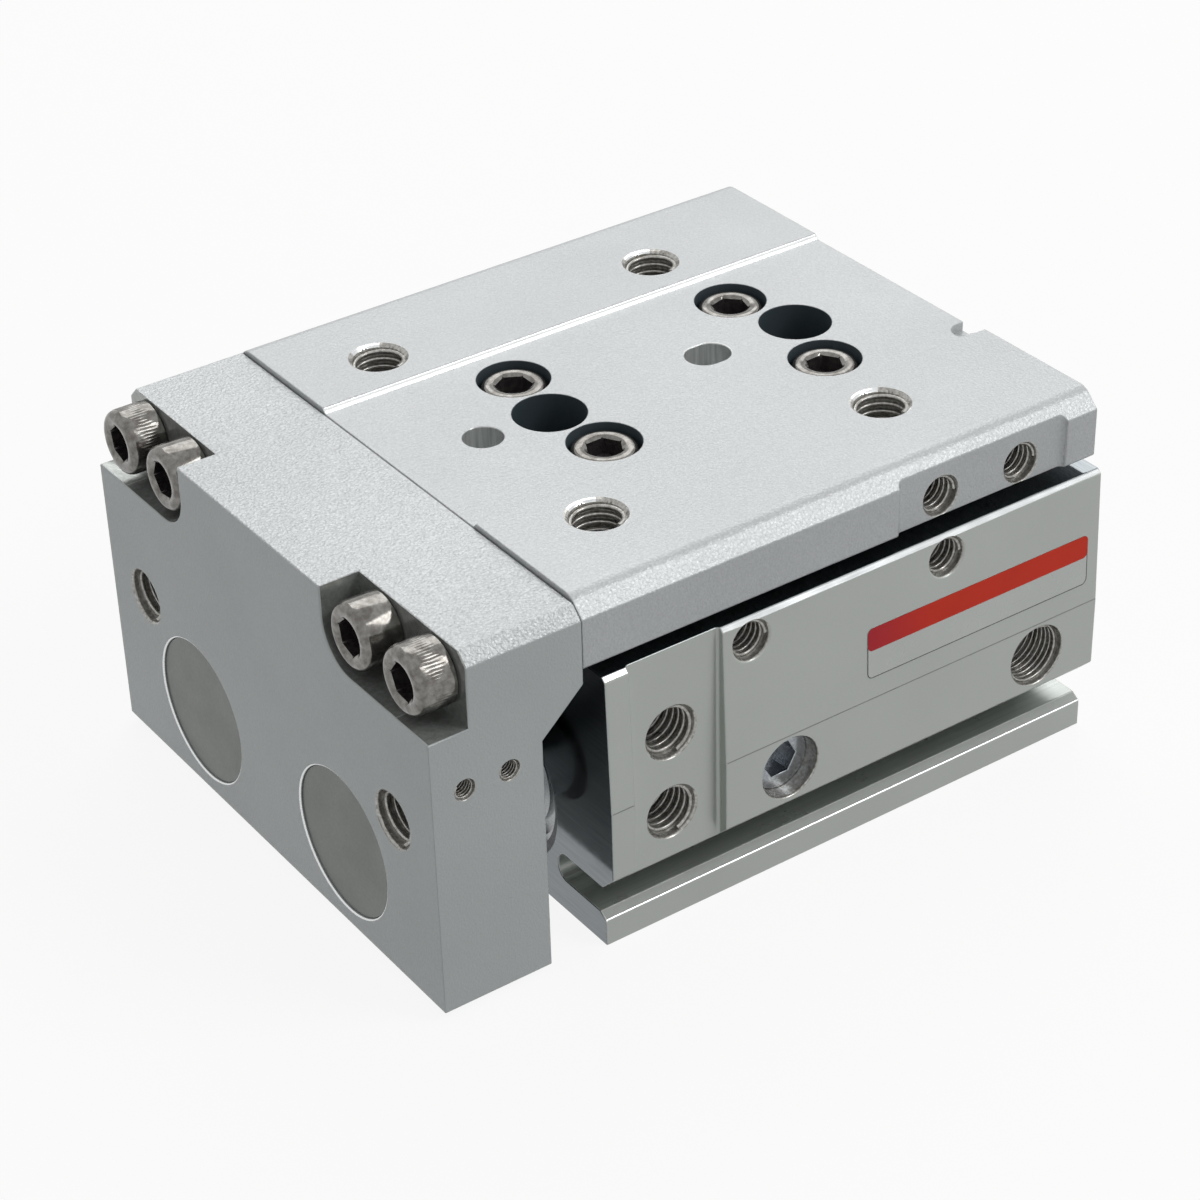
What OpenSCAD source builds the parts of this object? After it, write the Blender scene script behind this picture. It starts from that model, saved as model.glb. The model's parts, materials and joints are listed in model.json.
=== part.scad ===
// Pneumatic slide table with twin cylinders and a recirculating linear guide.
// Every x in the sizes below is counted from the front face of the end plate,
// z from the underside of the body, and y from the middle plane.
// Left (-y) is the side with the stopper threads, and the table travels towards -x.

/* [Travel] */
// Travel of the table
stroke = 30; // [20:1:30]

/* [Table] */
// Width of the table, the end plate and the foot of the body
table_w = 90; // [88:1:96]
// Length of the table
table_l = 91; // [90.5:0.1:92]
// Thickness of the table at its middle band
table_t = 9.7; // [9.5:0.1:12]
// Width of each raised strip along the table's sides
strip_w = 24.9; // [23:0.1:26]
// Height of the raised strips over the middle band
strip_h = 0.8; // [0.4:0.1:1.5]
// Chamfer along the upper side edges
edge_c = 2.7; // [1.5:0.1:2.8]
// Radius that softens the top of that chamfer on the table
edge_r = 3; // [1:0.5:4]
// Place of the front pair of threaded holes in the table
table_thread_x = 39; // [38.5:0.1:41]
// Distance between the pairs of threaded holes along the table
table_thread_lx = 50; // [48:1:54]
// Distance between the threaded holes across the table
table_thread_ly = 56; // [55:1:60]
// Diameter of the locating holes on the middle line
dowel_hole_d = 6; // [4:0.5:6]
// Length of the rear locating slot
dowel_slot_l = 7.2; // [6.5:0.1:9]
// Distance from the locating hole to the locating slot
dowel_pitch = 40; // [38:0.5:41]
// Depth of the locating hole and slot
dowel_hole_h = 5; // [3:0.5:8]
// Start of the milled recess in the table's left side
side_recess_x = 78.5; // [74:0.5:80]
// Length of the milled recess in the table's left side
side_recess_l = 31.3; // [29:0.1:33]
// Depth of the milled recess in the table's left side
side_recess_h = 0.9; // [0.4:0.1:1.5]
// Place of the first threaded hole in the table's side
side_thread_x = 86.8; // [86:0.1:88]
// Distance between the threaded holes in the table's side
side_thread_lx = 15; // [12:0.5:16]
// Height of those holes over the table's underside
side_thread_z = 3.4; // [3.2:0.1:5]

/* [End plate] */
// Thickness of the end plate where it carries the table
plate_t = 24.5; // [24:0.5:28]
// Thickness of the end plate at its foot
plate_foot_t = 17.7; // [17:0.1:19]
// Gap under the end plate
plate_lift = 1.4; // [0.5:0.1:3]
// Gap between the end plate and the body
nose_gap = 2.5; // [2:0.1:4]
// Depth of the screw pockets in the upper corners
pocket_l = 6.3; // [6:0.1:8]
// Radius of the screw pockets round the inner screw
pocket_r = 6.2; // [5.5:0.1:7]
// Distance of the inner end plate screws from the middle
plate_screw_y = 25.5; // [25:0.1:27]
// Distance between the two screws in each corner
plate_screw_pitch = 13; // [12:0.1:14]
// Height of the end plate screws over the table's underside
plate_screw_z = 4.5; // [4:0.1:4.6]
// Distance between the threaded holes in the front face
front_thread_ly = 69; // [60:1:72]
// Height of the threaded holes in the front face
front_thread_z = 28.2; // [27:0.1:34]
// Diameter of the covers over the rod ends
cover_disc_d = 23; // [21:0.5:25]
// Thickness of the covers over the rod ends
cover_disc_t = 2.5; // [2:0.1:2.9]
// Distance of the first small side hole from the front face
side_hole_x = 5.2; // [4:0.1:7]
// Distance between the small side holes
side_hole_pitch = 7.1; // [6:0.1:8]
// Height of the small side holes
side_hole_z = 37.1; // [30:0.1:38]

/* [Body] */
// Length of the body
body_l = 89; // [88.8:0.1:92]
// Height of the foot's upright edge
foot_h = 4.4; // [3:0.1:4.9]
// Height of the foot at the undercut
foot_top = 5.4; // [5:0.1:6]
// Distance from the middle to the bottom of the side undercuts
undercut_y = 33.4; // [33.2:0.1:36]
// Height of the side undercuts
undercut_h = 4.5; // [4.2:0.1:5]
// Radius in the corners of the side undercuts
undercut_r = 2; // [1:0.1:2.1]
// Chamfer along the lower side edges, over the undercuts
lip_c = 2.8; // [2:0.1:3]
// How far the lower side faces stand out from the foot
lower_side = 2; // [1.8:0.1:2.5]
// How far the upper side faces stand out from the foot
upper_side = 1.2; // [0.9:0.05:1.4]
// Height of the foot of the slope between the lower and the upper side face
side_step_z = 24; // [23.6:0.1:24.5]
// Gap between the carriage and each side wall
channel_gap = 1.5; // [1:0.1:3]
// Depth of the milled pads round the front mounting threads, from the foot's side
pad_y = 0.2; // [0:0.1:0.8]
// Start of the milled pads
pad_x = 31; // [30:0.5:33]
// Length of the milled pads
pad_l = 15.6; // [14:0.1:16]
// Place of the front mounting threads in the sides
mount_thread_x = 38.5; // [38:0.1:40]
// Height of the lower front mounting thread
mount_thread_z = 18.5; // [18:0.1:19]
// Distance between the front mounting threads
mount_thread_lz = 13.5; // [12:0.1:14]
// Place of the first upper side thread
wall_thread_x = 51.5; // [51:0.1:53]
// Distance between the upper side threads
wall_thread_lx = 35; // [30:0.5:38]
// Height of the upper side threads
wall_thread_z = 42.4; // [40:0.1:42.6]
// Height of the lower sensor slot on the right side
slot_first_z = 29; // [28.5:0.1:30]
// Distance between the sensor slots
slot_pitch = 8; // [7:0.5:9]
// Diameter of the sensor slots
slot_d = 4.2; // [3.6:0.1:4.6]
// Depth of the sensor slots' lips
slot_lip = 1; // [0.6:0.1:1.4]
// Distance between the mounting threads in the bottom
base_thread_lx = 50; // [46:1:54]
// Diameter of the locating holes in the bottom
base_dowel_d = 5; // [3:0.5:6]
// Distance between the locating holes in the bottom
base_dowel_lx = 26; // [20:1:30]

/* [Cylinders] */
// Diameter of the cylinder bores
bore_d = 25; // [24.6:0.1:25.4]
// Distance between the cylinders
bore_pitch = 40; // [39:0.5:41]
// Wall under the cylinder bores
bore_floor = 3; // [2.8:0.1:3.2]
// Wall between the cylinder bores and the guide's seat
bore_roof = 3; // [2.9:0.1:4]
// Diameter of the rod covers and the head covers
gland_d = 26; // [25.8:0.1:26.4]
// Diameter of the piston rods
rod_d = 12; // [10:0.5:12]
// Diameter of the rods' necks in the piston and in the end plate
neck_d = 8; // [6:0.5:8]
// Length of the pistons
piston_l = 15; // [14.9:0.1:16]
// Length of the head covers
head_l = 6.8; // [6.5:0.1:7.5]
// Thickness of the bumpers
bumper_t = 3.5; // [3:0.1:4]
// Diameter of the bumpers
bumper_d = 20; // [18:0.5:21]
// Length of the rod seals' seats
seal_l = 4; // [3.5:0.1:5]
// Width of the rod seals' section
seal_w = 3; // [2.5:0.1:3.5]
// Wall in front of the rod seals
seal_wall = 1.8; // [1.5:0.1:3]
// Wall of the rod bushes
bush_t = 1; // [0.5:0.1:1.5]
// Height of the port axis over the cylinder axis
port_rise = 3; // [2.6:0.1:3.4]
// Diameter of the ports
port_d = 9.7; // [9:0.1:10]
// Depth of the ports
port_h = 9; // [8:0.1:9.2]
// Diameter of the air passages
passage_d = 3.5; // [2:0.5:3.5]
// Length of the port plugs
plug_l = 5; // [4:0.1:6]

/* [Linear guide] */
// Height of the rail
rail_h = 9.5; // [9.3:0.1:10]
// Depth of the rail's seat in the table
rail_seat = 0.5; // [0.3:0.1:0.8]
// Height of the guide from the carriage's seat to the rail's seat
guide_h = 17.5; // [17.3:0.1:18]
// Width of the carriage
carriage_w = 60; // [59:0.5:61]
// Width of the carriage beside the rail
carriage_side_w = 9; // [8.8:0.1:9.2]
// Height of the carriage
carriage_h = 13.5; // [13:0.1:13.8]
// Length of the carriage's steel block
block_l = 42; // [36:1:42]
// Wall of the carriage's end caps round the turning balls
end_cap_wall = 0.8; // [0.6:0.1:1.2]
// Thickness of the carriage's end seals
end_seal_t = 1; // [0.8:0.1:1]
// Diameter of the balls
ball_d = 3.2; // [2.8:0.1:3.4]
// Height of the ball rows over the rail's lower face
ball_row_z = 2.5; // [2.3:0.1:2.8]
// Wall of the carriage outside the returning balls
return_wall = 2; // [1.6:0.1:2.2]
// Size of the small screws in the end caps
tiny_screw_d = 2.5; // [2:0.5:2.5]
// Length of those screws
tiny_screw_l = 9; // [8:1:12]
// Place of the front rail screws
rail_screw_x = 52; // [51.5:0.1:53]
// Distance between the rail screws along the rail
rail_screw_lx = 40; // [38:0.5:41]
// Distance between the rail screws across the rail
rail_screw_ly = 23; // [22.8:0.1:24]
// Place of the front access hole to the carriage screws
access_x = 50.5; // [50:0.1:51]
// Distance between the access holes
access_lx = 45; // [44.5:0.1:46]
// Diameter of the access holes
access_d = 11; // [10.4:0.1:11.2]

/* [Screws and seals] */
// Diameter of the large threads
big_thread_d = 8; // [6:0.5:8]
// Diameter of the small threads and of the cap screws
cap_screw_d = 6; // [5:0.5:6]
// Diameter of the cap screws' heads
cap_head_d = 10; // [9.5:0.1:10]
// Height of the cap screws' heads
cap_head_h = 6; // [5:0.1:6]
// Height of the low heads of the carriage screws
low_head_h = 4; // [3:0.1:4]
// Width across the flats of the cap screws' sockets
cap_hex = 5; // [4:0.5:5]
// Diameter of the counterbores for the rail screws
counterbore_d = 11; // [10.4:0.1:11.2]
// Length of the end plate screws
plate_screw_l = 25; // [24:1:26]
// Length of the rail screws
rail_screw_l = 10; // [8:1:10]
// Length of the carriage screws
carriage_screw_l = 14; // [10:1:14]
// Thickness of the cross-section of the O-rings
o_ring_t = 2.1; // [1.6:0.1:2.3]
// Thickness of the retaining rings
ring_t = 1.2; // [1:0.1:1.5]
// Diameter of the pins between the end plate and the table
pin_d = 4; // [3:0.5:5]

/* [Fits] */
// Radial clearance of a piece that is pressed, screwed or clamped in its seat
seat_fit = 0.02; // [0.01:0.01:0.05]
// Radial clearance of a piece that slides or rolls
slide_fit = 0.05; // [0.03:0.01:0.08]
// Clearance of moving pieces that don't guide each other
free_gap = 0.3; // [0.2:0.05:0.5]

/* [Hidden] */
$fn = 64;
cut = 1;                  // how far a cutting tool runs past a face
edge_break = 0.3;         // small chamfer on heads, rods and corners

// Heights, from the body's underside to the table's top
half_w = table_w / 2;
cyl_y = bore_pitch / 2;
cyl_z = bore_floor + bore_d / 2;
seat_z = cyl_z + bore_d / 2 + bore_roof;
carriage_top = seat_z + carriage_h;
rail_top = seat_z + guide_h;
rail_z = rail_top - rail_h;
under_z = rail_top - rail_seat;
band_z = under_z + table_t;
strip_z = band_z + strip_h;
strip_y = half_w - strip_w;
table_gap = 1.9;
wall_z = under_z - table_gap;
port_z = cyl_z + port_rise;

// Places along the slide
body_x = plate_t + nose_gap;
overall_l = body_x + body_l;
table_back = plate_t + table_l;
ring_x = 1;                                    // retaining ring from the body's end faces
gland_x = body_x + ring_x + ring_t;            // front face of the rod covers
head_x = overall_l - ring_x - ring_t - head_l; // front face of the head covers
piston_x = head_x - bumper_t - piston_l;       // front face of the pistons, table in
gland_back = piston_x - stroke - bumper_t;     // rear face of the rod covers
seal_x = gland_x + seal_wall;
bush_x = seal_x + seal_l + 1;                  // front face of the rod bushes
front_port_x = gland_back + bumper_t - 0.5;
rear_port_x = head_x - bumper_t + 1;
passage_z = port_z - (port_d - passage_d) / 2 + 0.15; // at the lower edge of the ports' floors

// Guide
rail_w = carriage_w - 2 * carriage_side_w;
carriage_screws_x = [access_x, access_x + access_lx - stroke];
carriage_mid = (carriage_screws_x[0] + carriage_screws_x[1]) / 2;
block_x = carriage_mid - block_l / 2;
rail_x = plate_t + 0.5;
rail_l = table_back - 0.5 - rail_x;
ball_r = ball_d / 2;
track_r = ball_r + slide_fit;
side_gap = 0.7;                                // between the rail and the carriage's legs
load_y = rail_w / 2 + side_gap / 2;
return_y = carriage_w / 2 - return_wall - track_r;
turn_r = (return_y - load_y) / 2;
end_cap_t = turn_r + track_r + end_cap_wall;
ball_z = rail_z + ball_row_z;
web_gap = 0.7;                                 // between the rail and the carriage's web
slot_z = rail_z - web_gap;
low_seat_z = slot_z - low_head_h - 0.1;
seat_play = 0.05;                              // of the carriage between its shoulders

// Screws
head_sink = 0.7;                               // rail screw heads below the middle band
rail_screw_seat = band_z - head_sink - cap_head_h;
plate_screw_h = under_z + plate_screw_z;
small_thread_d = 3;
cap_screw_clear = 0.3;                         // radial, in through holes
nut_h = 6.5;
thin_nut_h = 4;
nut_w = 13;                                    // across the flats
washer_t = 1.5;
washer_d = 17;
float_t = 1.5;                                 // rubber ring behind the end plate
float_d = 15;
cavity_l = cover_disc_t + 1 + nut_h + washer_t;
nut_x = cavity_l - washer_t - nut_h;

// Piston
piston_d = bore_d - 2 * slide_fit;
piston_seal_x = 1.2;                           // seal groove from the piston's front face
piston_seal_w = 2.6;
magnet_x = 5;
magnet_w = 4;
wear_x = 10;
wear_w = 3;
groove_play = 0.1;                             // of a ring along its groove
groove_d = bore_d - 6;                         // bottom of the piston's grooves
wear_groove_d = bore_d - 2.6;
nut_recess_l = thin_nut_h + 1;
nut_recess_d = 16;

// ---------------------------------------------------------------- helpers

// Moves a piece drawn from the end plate's front face into the part's own frame
module place() {
    translate([-overall_l / 2, 0, 0]) children();
}

// Extrudes a y-z outline along x
module along_x(x, l) {
    translate([x, 0, 0]) rotate([90, 0, 90]) linear_extrude(height = l) children();
}

// Round bar or hole along x
module round_x(x, l, d, y = 0, z = 0) {
    translate([x, y, z]) rotate([0, 90, 0]) cylinder(h = l, d = d);
}

// Ring along x
module ring_along_x(x, l, outer, inner) {
    difference() {
        round_x(x, l, outer);
        round_x(x - cut, l + 2 * cut, inner);
    }
}

// Hole from the side face at distance y from the middle
module side_holes(x, z, y, depth, d, sides = [-1]) {
    for (side = sides)
        translate([x, side * (y - depth), z])
            rotate([-90 * side, 0, 0]) cylinder(h = depth + cut, d = d);
}

// Outline that is the same on both sides of the middle plane
function both_sides(half) = concat(
    half, [for (i = [len(half) - 1 : -1 : 0]) [-half[i][0], half[i][1]]]
);

// Points on an arc
function arc(y, z, r, a0, a1, steps) = [
    for (i = [0 : steps]) let (a = a0 + (a1 - a0) * i / steps) [y + r * cos(a), z + r * sin(a)]
];

// Moves a piece to the cylinder on one side
module at_cylinder(side) {
    translate([0, side * cyl_y, cyl_z]) children();
}

// Plan of a side face cut by an upright end mill, from x0 to x1
module mill_plan(x0, x1, face_y, depth, r) {
    reach = sqrt(pow(r, 2) - pow(max(0, r - depth), 2));
    floor_y = face_y - depth;
    translate([x0 + reach, floor_y]) square([x1 - x0 - 2 * reach, depth + cut]);
    if (r < depth) translate([x0, floor_y + r]) square([x1 - x0, depth - r + cut]);
    for (x = [x0 + reach, x1 - reach]) translate([x, floor_y + r]) circle(r = r);
}

// Socket head cap screw, seat at z = 0, head upwards
module cap_screw(l, head_h = cap_head_h) {
    socket_h = head_h * 0.55;
    difference() {
        union() {
            translate([0, 0, -l]) cylinder(h = l, d = cap_screw_d - 2 * seat_fit);
            cylinder(h = head_h - edge_break * 2, d = cap_head_d);
            translate([0, 0, head_h - edge_break * 2])
                cylinder(h = edge_break * 2, d1 = cap_head_d, d2 = cap_head_d - 4 * edge_break);
        }
        translate([0, 0, head_h - socket_h]) cylinder(h = socket_h + cut, d = cap_hex / cos(30), $fn = 6);
    }
}

// Hexagon nut along x
module nut_x(x, h, w) {
    difference() {
        translate([x, 0, 0]) rotate([0, 90, 0]) cylinder(h = h, d = w / cos(30), $fn = 6);
        round_x(x - cut, h + 2 * cut, neck_d);
    }
}

// O-ring round the x axis
module o_ring(x, outer) {
    translate([x, 0, 0]) rotate([0, 90, 0]) rotate_extrude()
        translate([outer / 2 - seat_fit - o_ring_t / 2, 0]) circle(d = o_ring_t, $fn = 32);
}

// Groove for that O-ring
module o_ring_groove(x, outer) {
    width = o_ring_t + 2 * free_gap;
    depth = o_ring_t + 2 * seat_fit;
    ring_along_x(x - width / 2, width, outer + cut, outer - 2 * depth);
}

// ---------------------------------------------------------------- body

// Outline of the body's extrusion
module body_outline() {
    slope = 1;
    top_c = 0.7;
    lower_y = half_w + lower_side;
    upper_y = half_w + upper_side;
    undercut_top = foot_top + undercut_h;
    shoulder_y = carriage_w / 2 + seat_play;
    channel_y = carriage_w / 2 + channel_gap;
    shoulder_h = 0.5;
    foot_slope = 1.5;
    polygon(both_sides([
        [half_w, 0], [half_w, foot_h], [half_w - foot_slope, foot_top],
        [lower_y - lip_c, undercut_top], [lower_y, undercut_top + lip_c], [lower_y, side_step_z],
        [upper_y, side_step_z + slope], [upper_y, wall_z - top_c],
        [upper_y - top_c, wall_z], [channel_y, wall_z],
        [channel_y, seat_z + shoulder_h], [shoulder_y, seat_z + shoulder_h],
        [shoulder_y, seat_z]
    ]));
}

// Outline of the undercut on the +y side
module undercut_outline() {
    reach = half_w + lower_side - undercut_y;
    translate([undercut_y + undercut_r, foot_top]) square([reach, undercut_h]);
    translate([undercut_y, foot_top + undercut_r]) square([undercut_r + cut, undercut_h - 2 * undercut_r]);
    for (z = [foot_top + undercut_r, foot_top + undercut_h - undercut_r])
        translate([undercut_y + undercut_r, z]) circle(r = undercut_r);
}

// Bores for one cylinder, with the seats of both covers and the ring grooves
module cylinder_bore() {
    groove_w = ring_t + 0.1;
    round_x(body_x - cut, body_l + 2 * cut, bore_d);
    round_x(body_x - cut, gland_back - body_x + cut, gland_d);
    round_x(head_x, overall_l - head_x + cut, gland_d);
    for (x = [body_x + ring_x, overall_l - ring_x - groove_w])
        round_x(x, groove_w, gland_d + ring_t);
    round_x(body_x - cut, cut + edge_break, gland_d + 2 * edge_break);
    round_x(overall_l - edge_break, cut + edge_break, gland_d + 2 * edge_break);
}

// Outline of a sensor slot, sunk into the face at y = 0
module sensor_slot_outline() {
    mouth = slot_d * 0.7;
    translate([-slot_d / 2 - slot_lip, 0]) circle(d = slot_d);
    translate([-slot_d / 2 - slot_lip, -mouth / 2]) square([slot_d, mouth]);
}

module body() {
    pad_depth = lower_side - pad_y;
    mount_depth = 10;
    wall_depth = 8;
    base_depth = 12;
    passage_end = half_w + lower_side - port_h + cut;
    mid_x = body_x + body_l / 2;
    color([0.79, 0.8, 0.8]) place() difference() {
        along_x(body_x, body_l) body_outline();
        for (side = [0, 1]) mirror([0, side, 0])
            along_x(body_x - cut, body_l + 2 * cut) undercut_outline();
        // milled pad on the left, sensor slots on the right
        mirror([0, 1, 0]) translate([0, 0, foot_top + undercut_h - cut])
            linear_extrude(height = wall_z)
                mill_plan(pad_x, pad_x + pad_l, half_w + lower_side, pad_depth, 0.5);
        for (z = [slot_first_z, slot_first_z + slot_pitch])
            along_x(body_x - cut, body_l + 2 * cut) translate([half_w + upper_side, z]) sensor_slot_outline();
        for (side = [-1, 1]) at_cylinder(side) cylinder_bore();
        // mounting threads in the sides
        for (z = [mount_thread_z, mount_thread_z + mount_thread_lz])
            side_holes(mount_thread_x, z, half_w + pad_y, mount_depth, big_thread_d);
        for (x = [wall_thread_x, wall_thread_x + wall_thread_lx])
            side_holes(x, wall_thread_z, half_w + upper_side, wall_depth, cap_screw_d);
        // ports and the passages between the cylinders
        for (x = [front_port_x, rear_port_x]) {
            side_holes(x, port_z, half_w + lower_side, port_h, port_d, [-1, 1]);
            translate([x, -passage_end, passage_z]) rotate([-90, 0, 0])
                cylinder(h = 2 * passage_end, d = passage_d);
        }
        // carriage screws
        for (x = carriage_screws_x)
            translate([x, 0, low_seat_z - carriage_screw_l - cut])
                cylinder(h = carriage_screw_l + cut, d = cap_screw_d);
        // mounting threads and locating holes in the bottom
        for (x = [mid_x - base_thread_lx / 2, mid_x + base_thread_lx / 2])
            translate([x, 0, -cut]) cylinder(h = base_depth + cut, d = big_thread_d);
        for (x = [mid_x - base_dowel_lx / 2, mid_x + base_dowel_lx / 2])
            translate([x, 0, -cut]) cylinder(h = base_dowel_d + cut, d = base_dowel_d);
    }
}

// Port plugs: one in the front port of the left side, one in the rear port of the right side
module port_plugs() {
    plug_sink = 2.5;
    socket_h = 3;
    face_y = half_w + lower_side - plug_sink;
    color([0.72, 0.72, 0.7]) place()
        for (plug = [[front_port_x, -1], [rear_port_x, 1]])
            translate([plug[0], plug[1] * (face_y - plug_l), port_z])
                rotate([-90 * plug[1], 0, 0]) difference() {
                    cylinder(h = plug_l, d = port_d - 2 * seat_fit);
                    translate([0, 0, plug_l - socket_h])
                        cylinder(h = socket_h + cut, d = cap_hex / cos(30), $fn = 6);
                }
}

// ---------------------------------------------------------------- cylinders

module rod_cover(side) {
    bush_play = 0.1;
    bush_hole_d = rod_d + 2 * bush_t + 2 * slide_fit;
    color([0.62, 0.63, 0.66]) place() at_cylinder(side) difference() {
        round_x(gland_x, gland_back - gland_x, gland_d - 2 * seat_fit);
        o_ring_groove(gland_back - 5, gland_d - 2 * seat_fit);
        round_x(gland_x - cut, gland_back - gland_x + 2 * cut, rod_d + 2 * free_gap);
        round_x(seal_x, seal_l, rod_d + 2 * seal_w);
        round_x(bush_x - bush_play, gland_back - bush_x + bush_play + cut, bush_hole_d);
        // ring that takes a puller
        ring_along_x(gland_x - cut, cut + 0.6, gland_d - 5, gland_d - 9);
    }
}

module rod_bush(side) {
    color([0.72, 0.55, 0.32]) place() at_cylinder(side)
        ring_along_x(bush_x, gland_back - bush_x, rod_d + 2 * bush_t + 2 * slide_fit - 2 * seat_fit,
                     rod_d + 2 * slide_fit);
}

// Lip seal on the rod: a U-shaped ring that opens towards the cylinder
module rod_seal(side) {
    inner = rod_d / 2 + slide_fit;
    outer = rod_d / 2 + seal_w - seat_fit;
    middle = (inner + outer) / 2;
    lip = seal_w / 6;
    foot = seal_l / 20;
    top = seal_l - foot;
    color([0.12, 0.12, 0.13]) place() at_cylinder(side)
        translate([seal_x, 0, 0]) rotate([0, 90, 0]) rotate_extrude()
            polygon([
                [inner, foot], [outer, foot], [outer, top], [outer - lip, top],
                [middle, seal_l * 0.45], [inner + lip, top], [inner, top]
            ]);
}

module cover_o_ring(side) {
    color([0.1, 0.1, 0.1]) place() at_cylinder(side) o_ring(gland_back - 5, gland_d);
}

module rod_bumper(side) {
    color([0.86, 0.78, 0.56]) place() at_cylinder(side)
        ring_along_x(gland_back, bumper_t, bumper_d, rod_d + 4 * free_gap);
}

module head_bumper(side) {
    color([0.86, 0.78, 0.56]) place() at_cylinder(side)
        ring_along_x(head_x - bumper_t, bumper_t, bumper_d, neck_d);
}

module head_cover(side) {
    dish_d = 14;
    color([0.62, 0.63, 0.66]) place() at_cylinder(side) difference() {
        round_x(head_x, head_l, gland_d - 2 * seat_fit);
        o_ring_groove(head_x + head_l / 2, gland_d - 2 * seat_fit);
        round_x(head_x + head_l - 1, 1 + cut, dish_d);
        round_x(head_x + head_l - 4, 4 + cut, small_thread_d + 1);
    }
}

module head_o_ring(side) {
    color([0.1, 0.1, 0.1]) place() at_cylinder(side) o_ring(head_x + head_l / 2, gland_d);
}

// Internal retaining ring along x: open at its foot, with two ears with holes
module retaining_ring(x) {
    outer = gland_d + ring_t - 2 * seat_fit;
    band = 2;
    ear_d = 4.4;
    ear_r = outer / 2 - ear_d / 2 - 0.2;
    ear_a = 16;
    gap_w = 5.4;
    difference() {
        union() {
            difference() {
                ring_along_x(x, ring_t, outer, outer - 2 * band);
                translate([x - cut, -gap_w / 2, -outer]) cube([ring_t + 2 * cut, gap_w, outer]);
            }
            for (side = [-1, 1])
                round_x(x, ring_t, ear_d, side * ear_r * sin(ear_a), -ear_r * cos(ear_a));
        }
        for (side = [-1, 1])
            round_x(x - cut, ring_t + 2 * cut, 2, side * ear_r * sin(ear_a), -ear_r * cos(ear_a));
    }
}

module front_retaining_rings() {
    color([0.25, 0.25, 0.27]) place()
        for (side = [-1, 1]) at_cylinder(side) retaining_ring(body_x + ring_x);
}

module rear_retaining_rings() {
    color([0.25, 0.25, 0.27]) place()
        for (side = [-1, 1]) at_cylinder(side) retaining_ring(overall_l - ring_x - ring_t);
}

// Piston rod: neck with nut in the end plate, rod, neck through the piston
module piston_rod(side) {
    front = nut_x - 0.8;
    back = piston_x + piston_l - 0.8;
    color([0.82, 0.83, 0.85]) place() at_cylinder(side) {
        round_x(front, back - front, neck_d - 2 * seat_fit);
        round_x(plate_foot_t, piston_x - plate_foot_t, rod_d);
    }
}

module piston(side) {
    color([0.7, 0.71, 0.74]) place() at_cylinder(side) difference() {
        round_x(piston_x, piston_l, piston_d);
        round_x(piston_x - cut, piston_l + 2 * cut, neck_d);
        round_x(piston_x + piston_l - nut_recess_l, nut_recess_l + cut, nut_recess_d);
        ring_along_x(piston_x + piston_seal_x, piston_seal_w, bore_d, groove_d);
        ring_along_x(piston_x + magnet_x, magnet_w, bore_d, groove_d);
        ring_along_x(piston_x + wear_x, wear_w, bore_d, wear_groove_d);
    }
}

// Piston seal: a ring with two lips
module piston_seal(side) {
    inner = groove_d / 2 + seat_fit;
    outer = bore_d / 2 - slide_fit + 0.03;
    lip = 0.6;
    w = piston_seal_w - 2 * groove_play;
    color([0.1, 0.1, 0.11]) place() at_cylinder(side)
        translate([piston_x + piston_seal_x + groove_play, 0, 0]) rotate([0, 90, 0]) rotate_extrude()
            polygon([
                [inner, 0], [outer, 0], [outer, lip], [outer - lip, w / 2],
                [outer, w - lip], [outer, w], [inner, w]
            ]);
}

module piston_magnet(side) {
    color([0.2, 0.2, 0.21]) place() at_cylinder(side)
        ring_along_x(piston_x + magnet_x + groove_play, magnet_w - 2 * groove_play, bore_d - 1,
                     groove_d + 2 * seat_fit);
}

module wear_ring(side) {
    color([0.35, 0.42, 0.36]) place() at_cylinder(side)
        ring_along_x(piston_x + wear_x + groove_play, wear_w - 2 * groove_play, bore_d - 2 * slide_fit + 0.06,
                     wear_groove_d + 2 * seat_fit);
}

module piston_nut(side) {
    color([0.6, 0.6, 0.62]) place() at_cylinder(side)
        nut_x(piston_x + piston_l - nut_recess_l, thin_nut_h, nut_w);
}

// ---------------------------------------------------------------- linear guide

// Outline of a piece that stands round the rail: the carriage, its caps and its seals
module carriage_outline(side_clear, web_clear, w, top) {
    inner = rail_w / 2 + side_clear;
    polygon(both_sides([
        [w / 2 - 1, seat_z], [w / 2, seat_z + 1], [w / 2, top - 1], [w / 2 - 1, top],
        [inner, top], [inner, rail_z - web_clear]
    ]));
}

// Both straight stretches of the ball track on both sides
module ball_tracks(x, l) {
    for (y = [-return_y, -load_y, load_y, return_y]) round_x(x, l, 2 * track_r, y, ball_z);
}

module carriage() {
    color([0.6, 0.61, 0.62]) place() difference() {
        along_x(block_x, block_l) carriage_outline(side_gap, web_gap, carriage_w, carriage_top);
        ball_tracks(block_x - cut, block_l + 2 * cut);
        for (x = carriage_screws_x) translate([x, 0, 0]) {
            translate([0, 0, seat_z - cut]) cylinder(h = carriage_h, d = cap_screw_d + 2 * cap_screw_clear);
            translate([0, 0, low_seat_z]) cylinder(h = low_head_h + cut, d = cap_head_d + 1);
        }
        for (side = [-1, 1])
            round_x(block_x - cut, block_l + 2 * cut, tiny_screw_d, side * cap_screw_y, cap_screw_z);
    }
}

cap_screw_y = return_y - 0.4;
cap_screw_z = seat_z + carriage_h / 3;
cap_w = carriage_w - 1;
cap_lower = 0.5;                               // caps and seals below the block's top

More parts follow.
